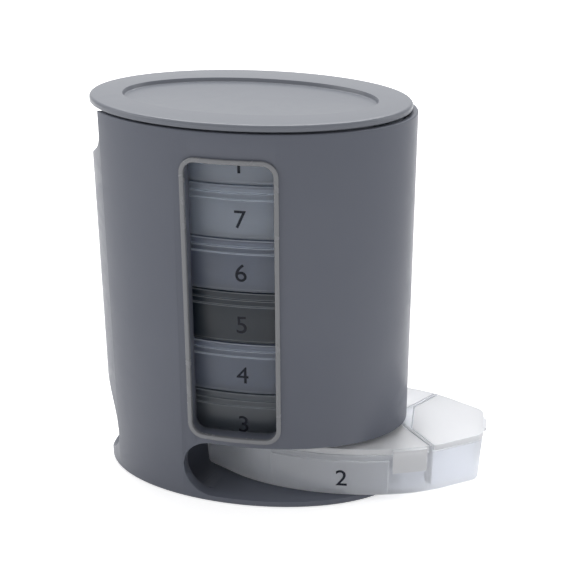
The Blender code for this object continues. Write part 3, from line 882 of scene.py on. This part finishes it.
def bead_tree():
    tree, entry, leaving = new_group(
        "GeometryNodeTree",
        "window_bead",
        {
            "Start": "Geometry",
            "Width": 2 * (WINDOW_HALF_WIDTH - BEAD_OVERLAP) + BEAD_WIDTH,
            "Height": WINDOW_TOP - WINDOW_BOTTOM - 2 * BEAD_OVERLAP + BEAD_WIDTH,
            "Corner Radius": WINDOW_CORNER_RADIUS - BEAD_OVERLAP + BEAD_WIDTH / 2,
            "Middle Height": (WINDOW_TOP + WINDOW_BOTTOM) / 2,
            "Band Width": BEAD_WIDTH,
            "Proud": BEAD_PROUD,
            "Buried": BURIED,
            "Edge Radius": BEAD_EDGE_RADIUS,
            "Spacing": BEAD_SPACING,
            "Finish": bead_painted_highlight_look,
        },
        {"Bead": "Geometry"},
    )
    box = round_rectangle(tree, entry["Width"], entry["Height"], entry["Corner Radius"], ROUND_STEPS)
    even = geo(tree, "ResampleCurve", {"mode": "LENGTH"}, Curve=box, Length=entry["Spacing"])
    x, up, _ = parts_of(tree, geo(tree, "InputPosition"))
    height = calc(tree, "ADD", up, entry["Middle Height"])
    across = wall_at(tree, x, height, BARREL_HALF_LENGTH, BARREL_HALF_WIDTH, BARREL_DRAFT, BARREL_HEIGHT)
    place = vector_of(tree, x, calc(tree, "MULTIPLY", across, -1.0), height)
    path = geo(tree, "SetPosition", Geometry=even, Position=place)
    x, y, _ = parts_of(tree, geo(tree, "InputPosition"))
    out_x = calc(tree, "DIVIDE", x, BARREL_HALF_LENGTH**2)
    out_y = calc(tree, "DIVIDE", y, BARREL_HALF_WIDTH**2)
    outward = vector_of(tree, out_x, out_y)
    facing = geo(tree, "SetCurveNormal", {"mode": "FREE"}, Curve=path, Normal=outward)
    depth = calc(tree, "ADD", entry["Proud"], entry["Buried"])
    band = round_rectangle(tree, depth, entry["Band Width"], entry["Edge Radius"], EDGE_STEPS)
    shift = calc(tree, "MULTIPLY", calc(tree, "SUBTRACT", entry["Proud"], entry["Buried"]), 0.5)
    section = geo(tree, "Transform", Geometry=band, Translation=vector_of(tree, shift))
    swept = geo(tree, "CurveToMesh", Curve=facing, Profile_Curve=section)
    return finish_tree(tree, swept, entry["Finish"], leaving["Bead"])


bead = grow_piece("window_bead", bead_tree(), [(0, 0, 0)])
dress(bead, bead_painted_highlight_look)
settle(bead, "barrel", "barrel_plastic")

# %% [markdown]
# ## Ribs inside the wall
# Eight thin ribs stand inside the wall and keep the trays upright and in line. They are alike but for
# their place, so Geometry Nodes set one unit cube on each of eight points and stretch it from the
# trays' well to the wall. A point's z says whether its rib is at an end of the oval or beside it. Of its
# x and y, one says where the rib stands, and the other gives only a side by its sign.

# %% Stand the ribs on their points
RIB_THICKNESS = 0.0012
RIB_X = WINDOW_HALF_WIDTH + BEAD_WIDTH + 0.0053
RIB_Y = NOTCH_HALF_WIDTH + 0.0019
RIB_TOP = BARREL_HEIGHT - 0.0037
RIB_EDGE_RADIUS = 0.00012
ONLY_A_SIGN = 0.001


def rib_tree():
    tree, entry, leaving = new_group(
        "GeometryNodeTree",
        "guide_ribs",
        {
            "Points": "Geometry",
            "Thickness": RIB_THICKNESS,
            "Bottom": SLOT_TOP + SLOT_FLANGE / 2,
            "Top": RIB_TOP,
            "Finish": barrel_look,
        },
        {"Ribs": "Geometry"},
    )
    x, y, at_end = parts_of(tree, geo(tree, "InputPosition"))

    def reach(length, width):
        """Distance from the middle to an oval: along x for a rib at an end, along y for the rest."""
        beside = wall_at(tree, x, 0.0, length, width, 1.0, 1.0)
        beyond = wall_at(tree, y, 0.0, width, length, 1.0, 1.0)
        return mix(tree, at_end, beside, beyond)

    def half_of_sum(first, second):
        return calc(tree, "MULTIPLY", calc(tree, "ADD", first, second), 0.5)

    into_wall = BURIED / 2 - BARREL_WALL
    inner = reach(WELL_HALF_LENGTH, WELL_HALF_WIDTH)
    outer = reach(BARREL_HALF_LENGTH + into_wall, BARREL_HALF_WIDTH + into_wall)
    middle = half_of_sum(inner, outer)
    end_x = calc(tree, "MULTIPLY", calc(tree, "SIGN", x), middle)
    side_y = calc(tree, "MULTIPLY", calc(tree, "SIGN", y), middle)
    place_x, place_y = mix(tree, at_end, x, end_x), mix(tree, at_end, side_y, y)
    place = vector_of(tree, place_x, place_y, half_of_sum(entry["Bottom"], entry["Top"]))
    depth = calc(tree, "SUBTRACT", outer, inner)
    size_x = mix(tree, at_end, entry["Thickness"], depth)
    size_y = mix(tree, at_end, depth, entry["Thickness"])
    size = vector_of(tree, size_x, size_y, calc(tree, "SUBTRACT", entry["Top"], entry["Bottom"]))
    as_vector = {"data_type": "FLOAT_VECTOR"}
    kept = geo(tree, "StoreNamedAttribute", as_vector, Geometry=entry["Points"], Name="rib_size", Value=size)
    moved = geo(tree, "SetPosition", Geometry=kept, Position=place)
    stored = geo(tree, "InputNamedAttribute", as_vector, Name="rib_size")
    cube = geo(tree, "MeshCube", Size=(1, 1, 1))
    ribs = geo(tree, "InstanceOnPoints", Points=moved, Instance=cube, Scale=stored)
    return finish_tree(tree, ribs, entry["Finish"], leaving["Ribs"])


signs = (-1, 1)
rib_points = [(side * RIB_X, face * ONLY_A_SIGN, 0.0) for side in signs for face in signs]
rib_points += [(end * ONLY_A_SIGN, side * RIB_Y, 1.0) for side in signs for end in signs]
ribs = grow_piece("guide_ribs", rib_tree(), rib_points)
soften(ribs, RIB_EDGE_RADIUS)
dress(ribs, barrel_look)
settle(ribs, "barrel", "barrel_plastic")

# %% [markdown]
# ## The cover
# The cover is a thin oval plate with a rounded edge and a shallow pan in its top. Under it two curved
# skirts reach into the barrel's mouth and rest on the ribs. The plate overhangs the notch a little, so
# that a thumb can lift it. The same oval tree makes the plate and the pan that is cut from it.

# %% Make the cover
COVER_BOTTOM = BARREL_HEIGHT + 0.0006
COVER_TOP = COVER_BOTTOM + 0.0020
COVER_INSET_AT_ENDS = 0.0008
COVER_INSET_AT_SIDES = 0.0004
COVER_MIDDLE_X = -0.0008
COVER_EDGE_RADIUS = 0.0009
COVER_FOOT_RADIUS = 0.0003
PAN_HALF_LENGTH = 0.0388
PAN_HALF_WIDTH = 0.0191
PAN_SLOPE = 0.0004
PAN_DEPTH = 0.0012
PAN_LIP = 0.0001
PAN_FILLET = 0.0006
PAN_FLOOR = COVER_TOP - PAN_DEPTH
PAN_PLATE = 0.0010
PAN_STEPS = 6
SKIRT_GAP = 0.0003
SKIRT_THICKNESS = 0.0010
SKIRT_NOTCH_GAP = 0.0009
SKIRT_BOTTOM = RIB_TOP + SKIRT_GAP


def quarter_round(radius, base, top):
    """Profile points (1, set-in, height) from an upright edge at base over to a flat at top."""
    return [(1.0, radius * set_in, top + (base - top) * drop) for set_in, drop in quarter(2 * EDGE_STEPS)]


def pan_profile():
    """Profile points of the pan, from its floor up its rounded foot and out past the cover's top."""
    foot = [(PAN_FILLET * across, PAN_FILLET * rise) for rise, across in quarter(PAN_STEPS)]
    wall = [(-PAN_SLOPE, PAN_DEPTH), (-PAN_SLOPE - PAN_LIP, PAN_DEPTH + PAN_LIP)]
    past = [(-PAN_SLOPE - 2 * PAN_LIP, PAN_FILLET + PAST)]
    return [(1.0, set_in, PAN_FLOOR + height) for set_in, height in foot + wall + past]


def mouth_oval(set_in):
    """The barrel's oval at the skirt's foot, made smaller by a distance."""
    share = draft_share(SKIRT_BOTTOM)
    return oval(BARREL_HALF_LENGTH * share - set_in, BARREL_HALF_WIDTH * share - set_in)


def skirt():
    set_in = BARREL_WALL + SKIRT_GAP
    outer, inner = mouth_oval(set_in), mouth_oval(set_in + SKIRT_THICKNESS)
    middle = (COVER_BOTTOM + COVER_TOP) / 2
    bottom, top = SKIRT_BOTTOM - PAST, middle + PAST
    side = NOTCH_HALF_WIDTH + SKIRT_NOTCH_GAP
    made = along_z("skirt", outer, SKIRT_BOTTOM, middle)
    cut(made, along_z("inside", inner, bottom, top))
    return cut(made, along_x("gap", [(-side, bottom), (side, bottom), (side, top), (-side, top)], -FAR, FAR))


def make_cover():
    half_length = BARREL_HALF_LENGTH - COVER_INSET_AT_ENDS
    half_width = BARREL_HALF_WIDTH - COVER_INSET_AT_SIDES
    under = quarter_round(COVER_FOOT_RADIUS, COVER_BOTTOM + COVER_FOOT_RADIUS, COVER_BOTTOM)
    edge = under[::-1] + quarter_round(COVER_EDGE_RADIUS, COVER_TOP - COVER_EDGE_RADIUS, COVER_TOP)
    cover = oval_piece("moulded_cover", edge, half_length, half_width, cover_painted_light_look, COVER_MIDDLE_X)
    plate = oval(PAN_HALF_LENGTH + PAN_SLOPE, PAN_HALF_WIDTH + PAN_SLOPE, COVER_MIDDLE_X)
    middle = (COVER_BOTTOM + PAN_FLOOR) / 2
    join(cover, along_z("pan_plate", plate, PAN_FLOOR - PAN_PLATE, middle))
    join(cover, skirt())
    pan = oval_piece("pan", pan_profile(), PAN_HALF_LENGTH, PAN_HALF_WIDTH, cover_painted_light_look, COVER_MIDDLE_X)
    return cut(cover, pan)


# The cover's paler finish is painted light on the barrel's plastic.
cover = dress(make_cover(), cover_painted_light_look)
settle(cover, "cover", "cover_plastic", "top_cover")

# %% [markdown]
# ## The trays
# A tray is a thin oval box whose ends run out to a blunt nose. Two slanting ridges at each end and a
# spine along the middle divide it into four compartments, and a panel on the front wall is raised a
# little to carry the label. All seven trays come from one mould, so one is made and copied.

# %% Keep the tray's sizes
NOSE_HALF_WIDTH = 0.0078
NOSE_CORNER_RADIUS = 0.0045
NOSE_CORNER_LIMIT = 0.8
TRAY_RIM_HEIGHT = 0.0143
TRAY_WALL = 0.0018
TRAY_FLOOR = 0.0013
TRAY_DRAFT = 0.975
FLOOR_CHAMFER = 0.0015
PARTITION_THICKNESS = 0.0022
RIDGE_TOP_WIDTH = 0.0010
SPINE_HALF_LENGTH = 0.0160
SPINE_TOP_HALF_WIDTH = 0.0022
RIDGE_ANGLE = math.radians(52.8)
DECK_HALF_LENGTH = 0.0222
DECK_UNDERSIDE = TRAY_HEIGHT - 0.0013
PANEL_LEFT = -0.0210
PANEL_RIGHT = 0.0165
PANEL_BOTTOM = 0.0009
PANEL_TOP = TRAY_RIM_HEIGHT - 0.0018
PANEL_PROUD = 0.0007
LID_GAP = 0.0003
END_HINGE_X = DECK_HALF_LENGTH + LID_GAP
SIDE_HINGE_Y = SPINE_TOP_HALF_WIDTH + LID_GAP
TRAY_EDGE_RADIUS = 0.0002
print("tray is", round(2000 * TRAY_HALF_LENGTH, 1), "by", round(2000 * TRAY_HALF_WIDTH, 1), "mm")


# %% Draw the tray's outline
def tray_outline(grow=0.0):
    """The tray from above: an oval whose ends run straight to a blunt nose with round corners."""
    half_length = TRAY_OVAL_HALF_LENGTH + grow
    half_width = TRAY_HALF_WIDTH + grow
    nose_x = half_length + NOSE_REACH
    nose_y = NOSE_HALF_WIDTH + grow * math.tan(math.pi / 8)
    along, across = nose_x / half_length, nose_y / half_width
    touch = math.atan2(across, along) + math.acos(1 / math.hypot(along, across))
    touch_x, touch_y = half_length * math.cos(touch), half_width * math.sin(touch)
    turn = math.atan2(nose_x - touch_x, touch_y - nose_y)
    radius = min(NOSE_CORNER_RADIUS, NOSE_CORNER_LIMIT * nose_y / math.tan(turn / 2))
    corner_y = nose_y - radius * math.tan(turn / 2)
    quarter = arc(nose_x - radius, corner_y, radius, radius, 0, math.degrees(turn), NOSE_CORNER_STEPS)
    quarter += arc(0, 0, half_length, half_width, math.degrees(touch), 90, TRAY_ARC_STEPS)
    half = quarter + [(-x, y) for x, y in reversed(quarter[:-1])]
    return half + [(-x, -y) for x, y in half]


def beside_ridges(points, ridge_offset, side):
    """The part of an outline beyond the ridges at +x, for "end", or between them at -y, for "front"."""
    sine, cosine = math.sin(RIDGE_ANGLE), math.cos(RIDGE_ANGLE)
    if side == "end":
        limit = SPINE_HALF_LENGTH * sine + ridge_offset
        return clip(clip(points, sine, -cosine, limit), sine, cosine, limit)
    limit = ridge_offset - SPINE_HALF_LENGTH * sine
    return clip(clip(points, -sine, -cosine, limit), sine, -cosine, limit)


def lid_outline(side, ridge_offset, hinge_inset, grow):
    outline = beside_ridges(tray_outline(grow), ridge_offset, side)
    if side == "front":
        return clip(outline, 0, -1, SIDE_HINGE_Y + hinge_inset)
    return clip(outline, 1, 0, END_HINGE_X + hinge_inset)


print("tray outline has", len(tray_outline()), "points")


# %% Mould one tray
def tray_draft(height):
    return TRAY_DRAFT + (1 - TRAY_DRAFT) * height / TRAY_HEIGHT


def pocket(side):
    """The space of one compartment, up to the underside of the spine and deck."""
    outline = beside_ridges(tray_outline(-TRAY_WALL), PARTITION_THICKNESS / 2, side)
    if side == "front":
        outline = clip(outline, 0, -1, PARTITION_THICKNESS / 2)
    middle = middle_of(outline)
    reach = max(math.dist(point, middle) for point in outline)
    sections = [
        (scaled(outline, 1 - FLOOR_CHAMFER * inset / reach, middle), TRAY_FLOOR + FLOOR_CHAMFER * rise)
        for rise, inset in quarter(EDGE_STEPS)
    ]
    return upright("pocket", sections + [(outline, DECK_UNDERSIDE)])


def turned(points):
    return [(-x, -y) for x, y in points]


def mould_tray():
    outline = tray_outline()
    tray = upright("tray", [(scaled(outline, TRAY_DRAFT), 0), (outline, TRAY_HEIGHT)])
    panel = clip(clip(tray_outline(PANEL_PROUD), 1, 0, PANEL_LEFT), -1, 0, -PANEL_RIGHT)
    panel = clip(panel, 0, -1, TRAY_HALF_WIDTH / 2)
    join(tray, upright("panel", [(scaled(panel, tray_draft(z)), z) for z in (PANEL_BOTTOM, PANEL_TOP)]))
    for side in ("front", "end"):
        space = lid_outline(side, RIDGE_TOP_WIDTH / 2, -LID_GAP, PAST)
        for flip in (False, True):
            hollow = pocket(side)
            above = turned(space) if flip else space
            if flip:
                hollow.rotation_euler.z = math.pi
            cut(tray, hollow)
            cut(tray, along_z("lid_space", above, TRAY_RIM_HEIGHT, TRAY_HEIGHT + PAST))
    # The second finish goes on the rounded edges as a painted highlight.
    dress(tray, tray_look, painted_highlight_edge)
    return smooth(soften(tray, TRAY_EDGE_RADIUS, edge_highlight_slot=1))


tray = mould_tray()
print("one tray has", len(tray.data.polygons), "faces")

# %% [markdown]
# ## The lids
# Each compartment has its own lid: one at each end and one at each side of the spine. A lid is a thin
# plate with a shallow recess underneath. The end lids have a small tab at the nose for a fingertip, and
# the side lids have a tongue that hangs over the wall beside the label.

# %% Mould the two kinds of lid
LID_THICKNESS = TRAY_HEIGHT - TRAY_RIM_HEIGHT - LID_GAP
LID_BOTTOM = TRAY_RIM_HEIGHT + LID_GAP
LID_EDGE = 0.0012
LID_RECESS_DEPTH = 0.0009
THUMB_TAB_REACH = 0.0009
THUMB_TAB_HALF_WIDTH = 0.0038
THUMB_TAB_THICKNESS = 0.0012
TONGUE_LEFT = 0.0175
TONGUE_RIGHT = 0.0280
TONGUE_THICKNESS = 0.0008
TONGUE_DROP = 0.0061
LID_EDGE_RADIUS = 0.0002


def lid_plate(side):
    outline = lid_outline(side, RIDGE_TOP_WIDTH / 2 + LID_GAP, 0.0, 0.0)
    lid = along_z("lid", outline, LID_BOTTOM, TRAY_HEIGHT)
    inner = lid_outline(side, RIDGE_TOP_WIDTH / 2 + LID_GAP + LID_EDGE, LID_EDGE, -LID_EDGE)
    return cut(lid, along_z("recess", inner, LID_BOTTOM - PAST, LID_BOTTOM + LID_RECESS_DEPTH))


def end_lid():
    lid = lid_plate("end")
    middle = TRAY_HEIGHT - LID_THICKNESS / 2
    low, high = middle - THUMB_TAB_THICKNESS / 2, middle + THUMB_TAB_THICKNESS / 2
    inside, outside = TRAY_HALF_LENGTH - LID_EDGE / 2, TRAY_HALF_LENGTH + THUMB_TAB_REACH
    side, slant = THUMB_TAB_HALF_WIDTH, THUMB_TAB_REACH
    tab = [(inside, -side), (TRAY_HALF_LENGTH, -side), (outside, slant - side)]
    tab += [(outside, side - slant), (TRAY_HALF_LENGTH, side), (inside, side)]
    return join(lid, along_z("thumb_tab", tab, low, high))


def tongue(inner_grow, outer_grow, bottom, top):
    """A band that follows the tray's front wall, between two distances outside it."""
    outline = lid_outline("front", RIDGE_TOP_WIDTH / 2 + LID_GAP, 0.0, outer_grow)
    outline = clip(clip(outline, 1, 0, TONGUE_LEFT), -1, 0, -TONGUE_RIGHT)
    band = along_z("tongue", outline, bottom, top)
    inner = tray_outline(inner_grow)
    return cut(band, along_z("inside", inner, bottom - PAST, top + PAST))


def side_lid():
    lid = lid_plate("front")
    reach = LID_GAP + TONGUE_THICKNESS
    join(lid, tongue(-LID_EDGE / 2, reach, LID_BOTTOM, TRAY_HEIGHT - LID_GAP))
    return join(lid, tongue(LID_GAP, reach, LID_BOTTOM - TONGUE_DROP, LID_BOTTOM + LID_GAP))


lids = {"end": end_lid(), "side": side_lid()}
# Each lid's rounded edges get the second finish, a painted highlight.
for lid in lids.values():
    dress(lid, lid_look, painted_highlight_edge)
    smooth(soften(lid, LID_EDGE_RADIUS, edge_highlight_slot=1))
print("lids have", [len(lid.data.polygons) for lid in lids.values()], "faces")

# %% [markdown]
# ## The stack
# The Tuesday tray is drawn part of the way out and lies a little askew. The other six stand straight
# above it. Each copy gets its place in its mesh, and its object stays at the origin, so that a pattern
# in its material neither slides nor turns when the case moves. Two of the trays are smoke-tinted, and
# Wednesday's smoke is a paler copy with painted light. The others are one frosted plastic in three tints:
# white for the drawn tray in the open, and two darker, bluer copies with painted shade for the trays high
# and deep in the barrel. The rounded edges of every tray and lid carry a paler finish, a painted highlight.

# %% Copy the tray and its lids to each day
TUESDAY_DRAWN_OUT = 0.0288
TUESDAY_TURN = math.radians(4.4)
SMOKED_DAYS = ("wednesday", "friday")
# For each day: body, lid and edge finish. The high and deep tints are painted shade, Wednesday's paler smoke
# is painted light, and every edge finish is a painted highlight.
IN_THE_OPEN = (tray_look, lid_look, painted_highlight_edge)
PAINTED_SHADE_HIGH = (painted_shade_high_look, painted_shade_high_look, painted_highlight_and_shade_edge)
PAINTED_SHADE_DEEP = (painted_shade_deep_look, painted_shade_deep_look, painted_highlight_and_shade_edge)
LOOKS_BY_DAY = {
    "tuesday": IN_THE_OPEN,
    "wednesday": (smoke_painted_lighter_look, smoke_painted_lighter_look, painted_highlight_smoke_edge),
    "thursday": PAINTED_SHADE_DEEP,
    "friday": (smoked_look, smoked_look, painted_highlight_smoke_edge),
    "saturday": PAINTED_SHADE_DEEP,
    "sunday": PAINTED_SHADE_HIGH,
    "monday": PAINTED_SHADE_HIGH,
}
LIDS_OF_A_TRAY = {"right": ("end", 0), "left": ("end", 180), "front": ("side", 0), "back": ("side", 180)}


def place_of(day):
    base = Matrix.Translation((0, 0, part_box("tray_" + day)[0].z))
    if day != "tuesday":
        return base
    return base @ Matrix.Rotation(TUESDAY_TURN, 4, "Z") @ Matrix.Translation((TUESDAY_DRAWN_OUT, 0, 0))


def slot_of(day):
    return "smoked_plastic" if day in SMOKED_DAYS else "frosted_plastic"


def set_down(pattern, day, node, turn, look, edge_highlight_look):
    """Copies a pattern to a day's place, turned by some degrees, as the piece for a node."""
    mesh = pattern.data.copy()
    mesh.transform(place_of(day) @ Matrix.Rotation(math.radians(turn), 4, "Z"))
    mesh.materials[0] = look
    mesh.materials[1] = edge_highlight_look
    settle(new_object("frosted_" + node, mesh), body_of[node], slot_of(day), node)


for day in DAYS_FROM_THE_BOTTOM:
    body_look, top_look, edge_highlight_look = LOOKS_BY_DAY[day]
    set_down(tray, day, "tray_" + day, 0, body_look, edge_highlight_look)
    for side, (kind, turn) in LIDS_OF_A_TRAY.items():
        set_down(lids[kind], day, side + "_lid_" + day, turn, top_look, edge_highlight_look)
for pattern in (tray, *lids.values()):
    bpy.data.objects.remove(pattern)

# %% [markdown]
# ## The day numbers
# Each label panel carries its day in dark ink. Here it is a plain number, from 1 for Monday to 7 for
# Sunday. The tree turns the number into a filled outline, gives it the thickness of a coat of ink, and
# lays every point on the curved panel.

# %% Print the numbers
NUMBER_HEIGHT = 0.0059
NUMBER_MIDDLE_X = 0.0017
NUMBER_BOTTOM = 0.0037
INK_THICKNESS = 0.00004
INK_BOLDER = 0.00003
FONT_SIZE_FOR_HEIGHT = 1.37


def plain_font():
    """Blender's own font, which a new text carries."""
    return bpy.data.curves.new("sample", "FONT").font


def bolder(tree, curve, distance):
    """Moves a flat outline's points outwards, to make its letters bolder."""
    cross = add(tree, "ShaderNodeVectorMath", {"operation": "CROSS_PRODUCT"})
    aside = feed_in_order(tree, cross, (geo(tree, "InputTangent"), (0, 0, 1)))
    step = add(tree, "ShaderNodeVectorMath", {"operation": "SCALE"}, Scale=distance)
    return geo(tree, "SetPosition", Geometry=curve, Offset=feed_in_order(tree, step, (aside,)))


def coat_of_ink(tree, outline, thickness):
    """Fills an outline and gives it two faces and a rim, a thickness apart."""
    filled = geo(tree, "FillCurve", Curve=outline)
    raised = add(tree, "GeometryNodeExtrudeMesh", Mesh=filled, Offset_Scale=thickness)
    raised.inputs["Individual"].default_value = False
    both = add(tree, "GeometryNodeJoinGeometry")
    for half in (raised.outputs["Mesh"], geo(tree, "FlipFaces", Mesh=filled)):
        tree.links.new(half, both.inputs[0])
    return geo(tree, "MergeByDistance", Geometry=both.outputs[0], Distance=FINE_WELD)


def number_tree():
    tree, entry, leaving = new_group(
        "GeometryNodeTree",
        "day_number",
        {
            "Start": "Geometry",
            "Number": 1,
            "Letter Size": NUMBER_HEIGHT * FONT_SIZE_FOR_HEIGHT,
            "Middle X": NUMBER_MIDDLE_X,
            "Bottom": NUMBER_BOTTOM,
            "Thickness": INK_THICKNESS,
            "Bolder": INK_BOLDER,
            "Finish": ink_look,
        },
        {"Ink": "Geometry"},
    )
    text = add(tree, "FunctionNodeValueToString", {"data_type": "INT"}, Value=entry["Number"])
    style = {"align_x": "CENTER", "font": plain_font()}
    letters = geo(tree, "StringToCurves", style, String=text.outputs[0], Size=entry["Letter Size"])
    outline = geo(tree, "RealizeInstances", Geometry=letters)
    even = geo(tree, "ResampleCurve", {"mode": "EVALUATED"}, Curve=outline)
    ink = coat_of_ink(tree, bolder(tree, even, entry["Bolder"]), entry["Thickness"])
    along, up, out = parts_of(tree, geo(tree, "InputPosition"))
    x = calc(tree, "ADD", along, entry["Middle X"])
    z = calc(tree, "ADD", up, entry["Bottom"])
    half_length, half_width = TRAY_OVAL_HALF_LENGTH + PANEL_PROUD, TRAY_HALF_WIDTH + PANEL_PROUD
    across = wall_at(tree, x, z, half_length, half_width, TRAY_DRAFT, TRAY_HEIGHT)
    y = calc(tree, "MULTIPLY", calc(tree, "ADD", across, out), -1.0)
    laid = geo(tree, "SetPosition", Geometry=ink, Position=vector_of(tree, x, y, z))
    return finish_tree(tree, laid, entry["Finish"], leaving["Ink"])


ink_tree = number_tree()
for number, day in enumerate(DAYS, start=1):
    ink = grow_piece("number_" + day, ink_tree, [(0, 0, 0)], Number=number)
    heights = [vertex.co.z for vertex in ink.data.vertices]
    print("cap height", round(1000 * (max(heights) - min(heights)), 2), "mm")
    ink.data.transform(place_of(day))
    dress(ink, ink_look)
    settle(ink, body_of["tray_" + day], slot_of(day))

# %% [markdown]
# ## The end
# The dressed case must fill the same box as the imported model.

# %% End the scene
print("scene is built")
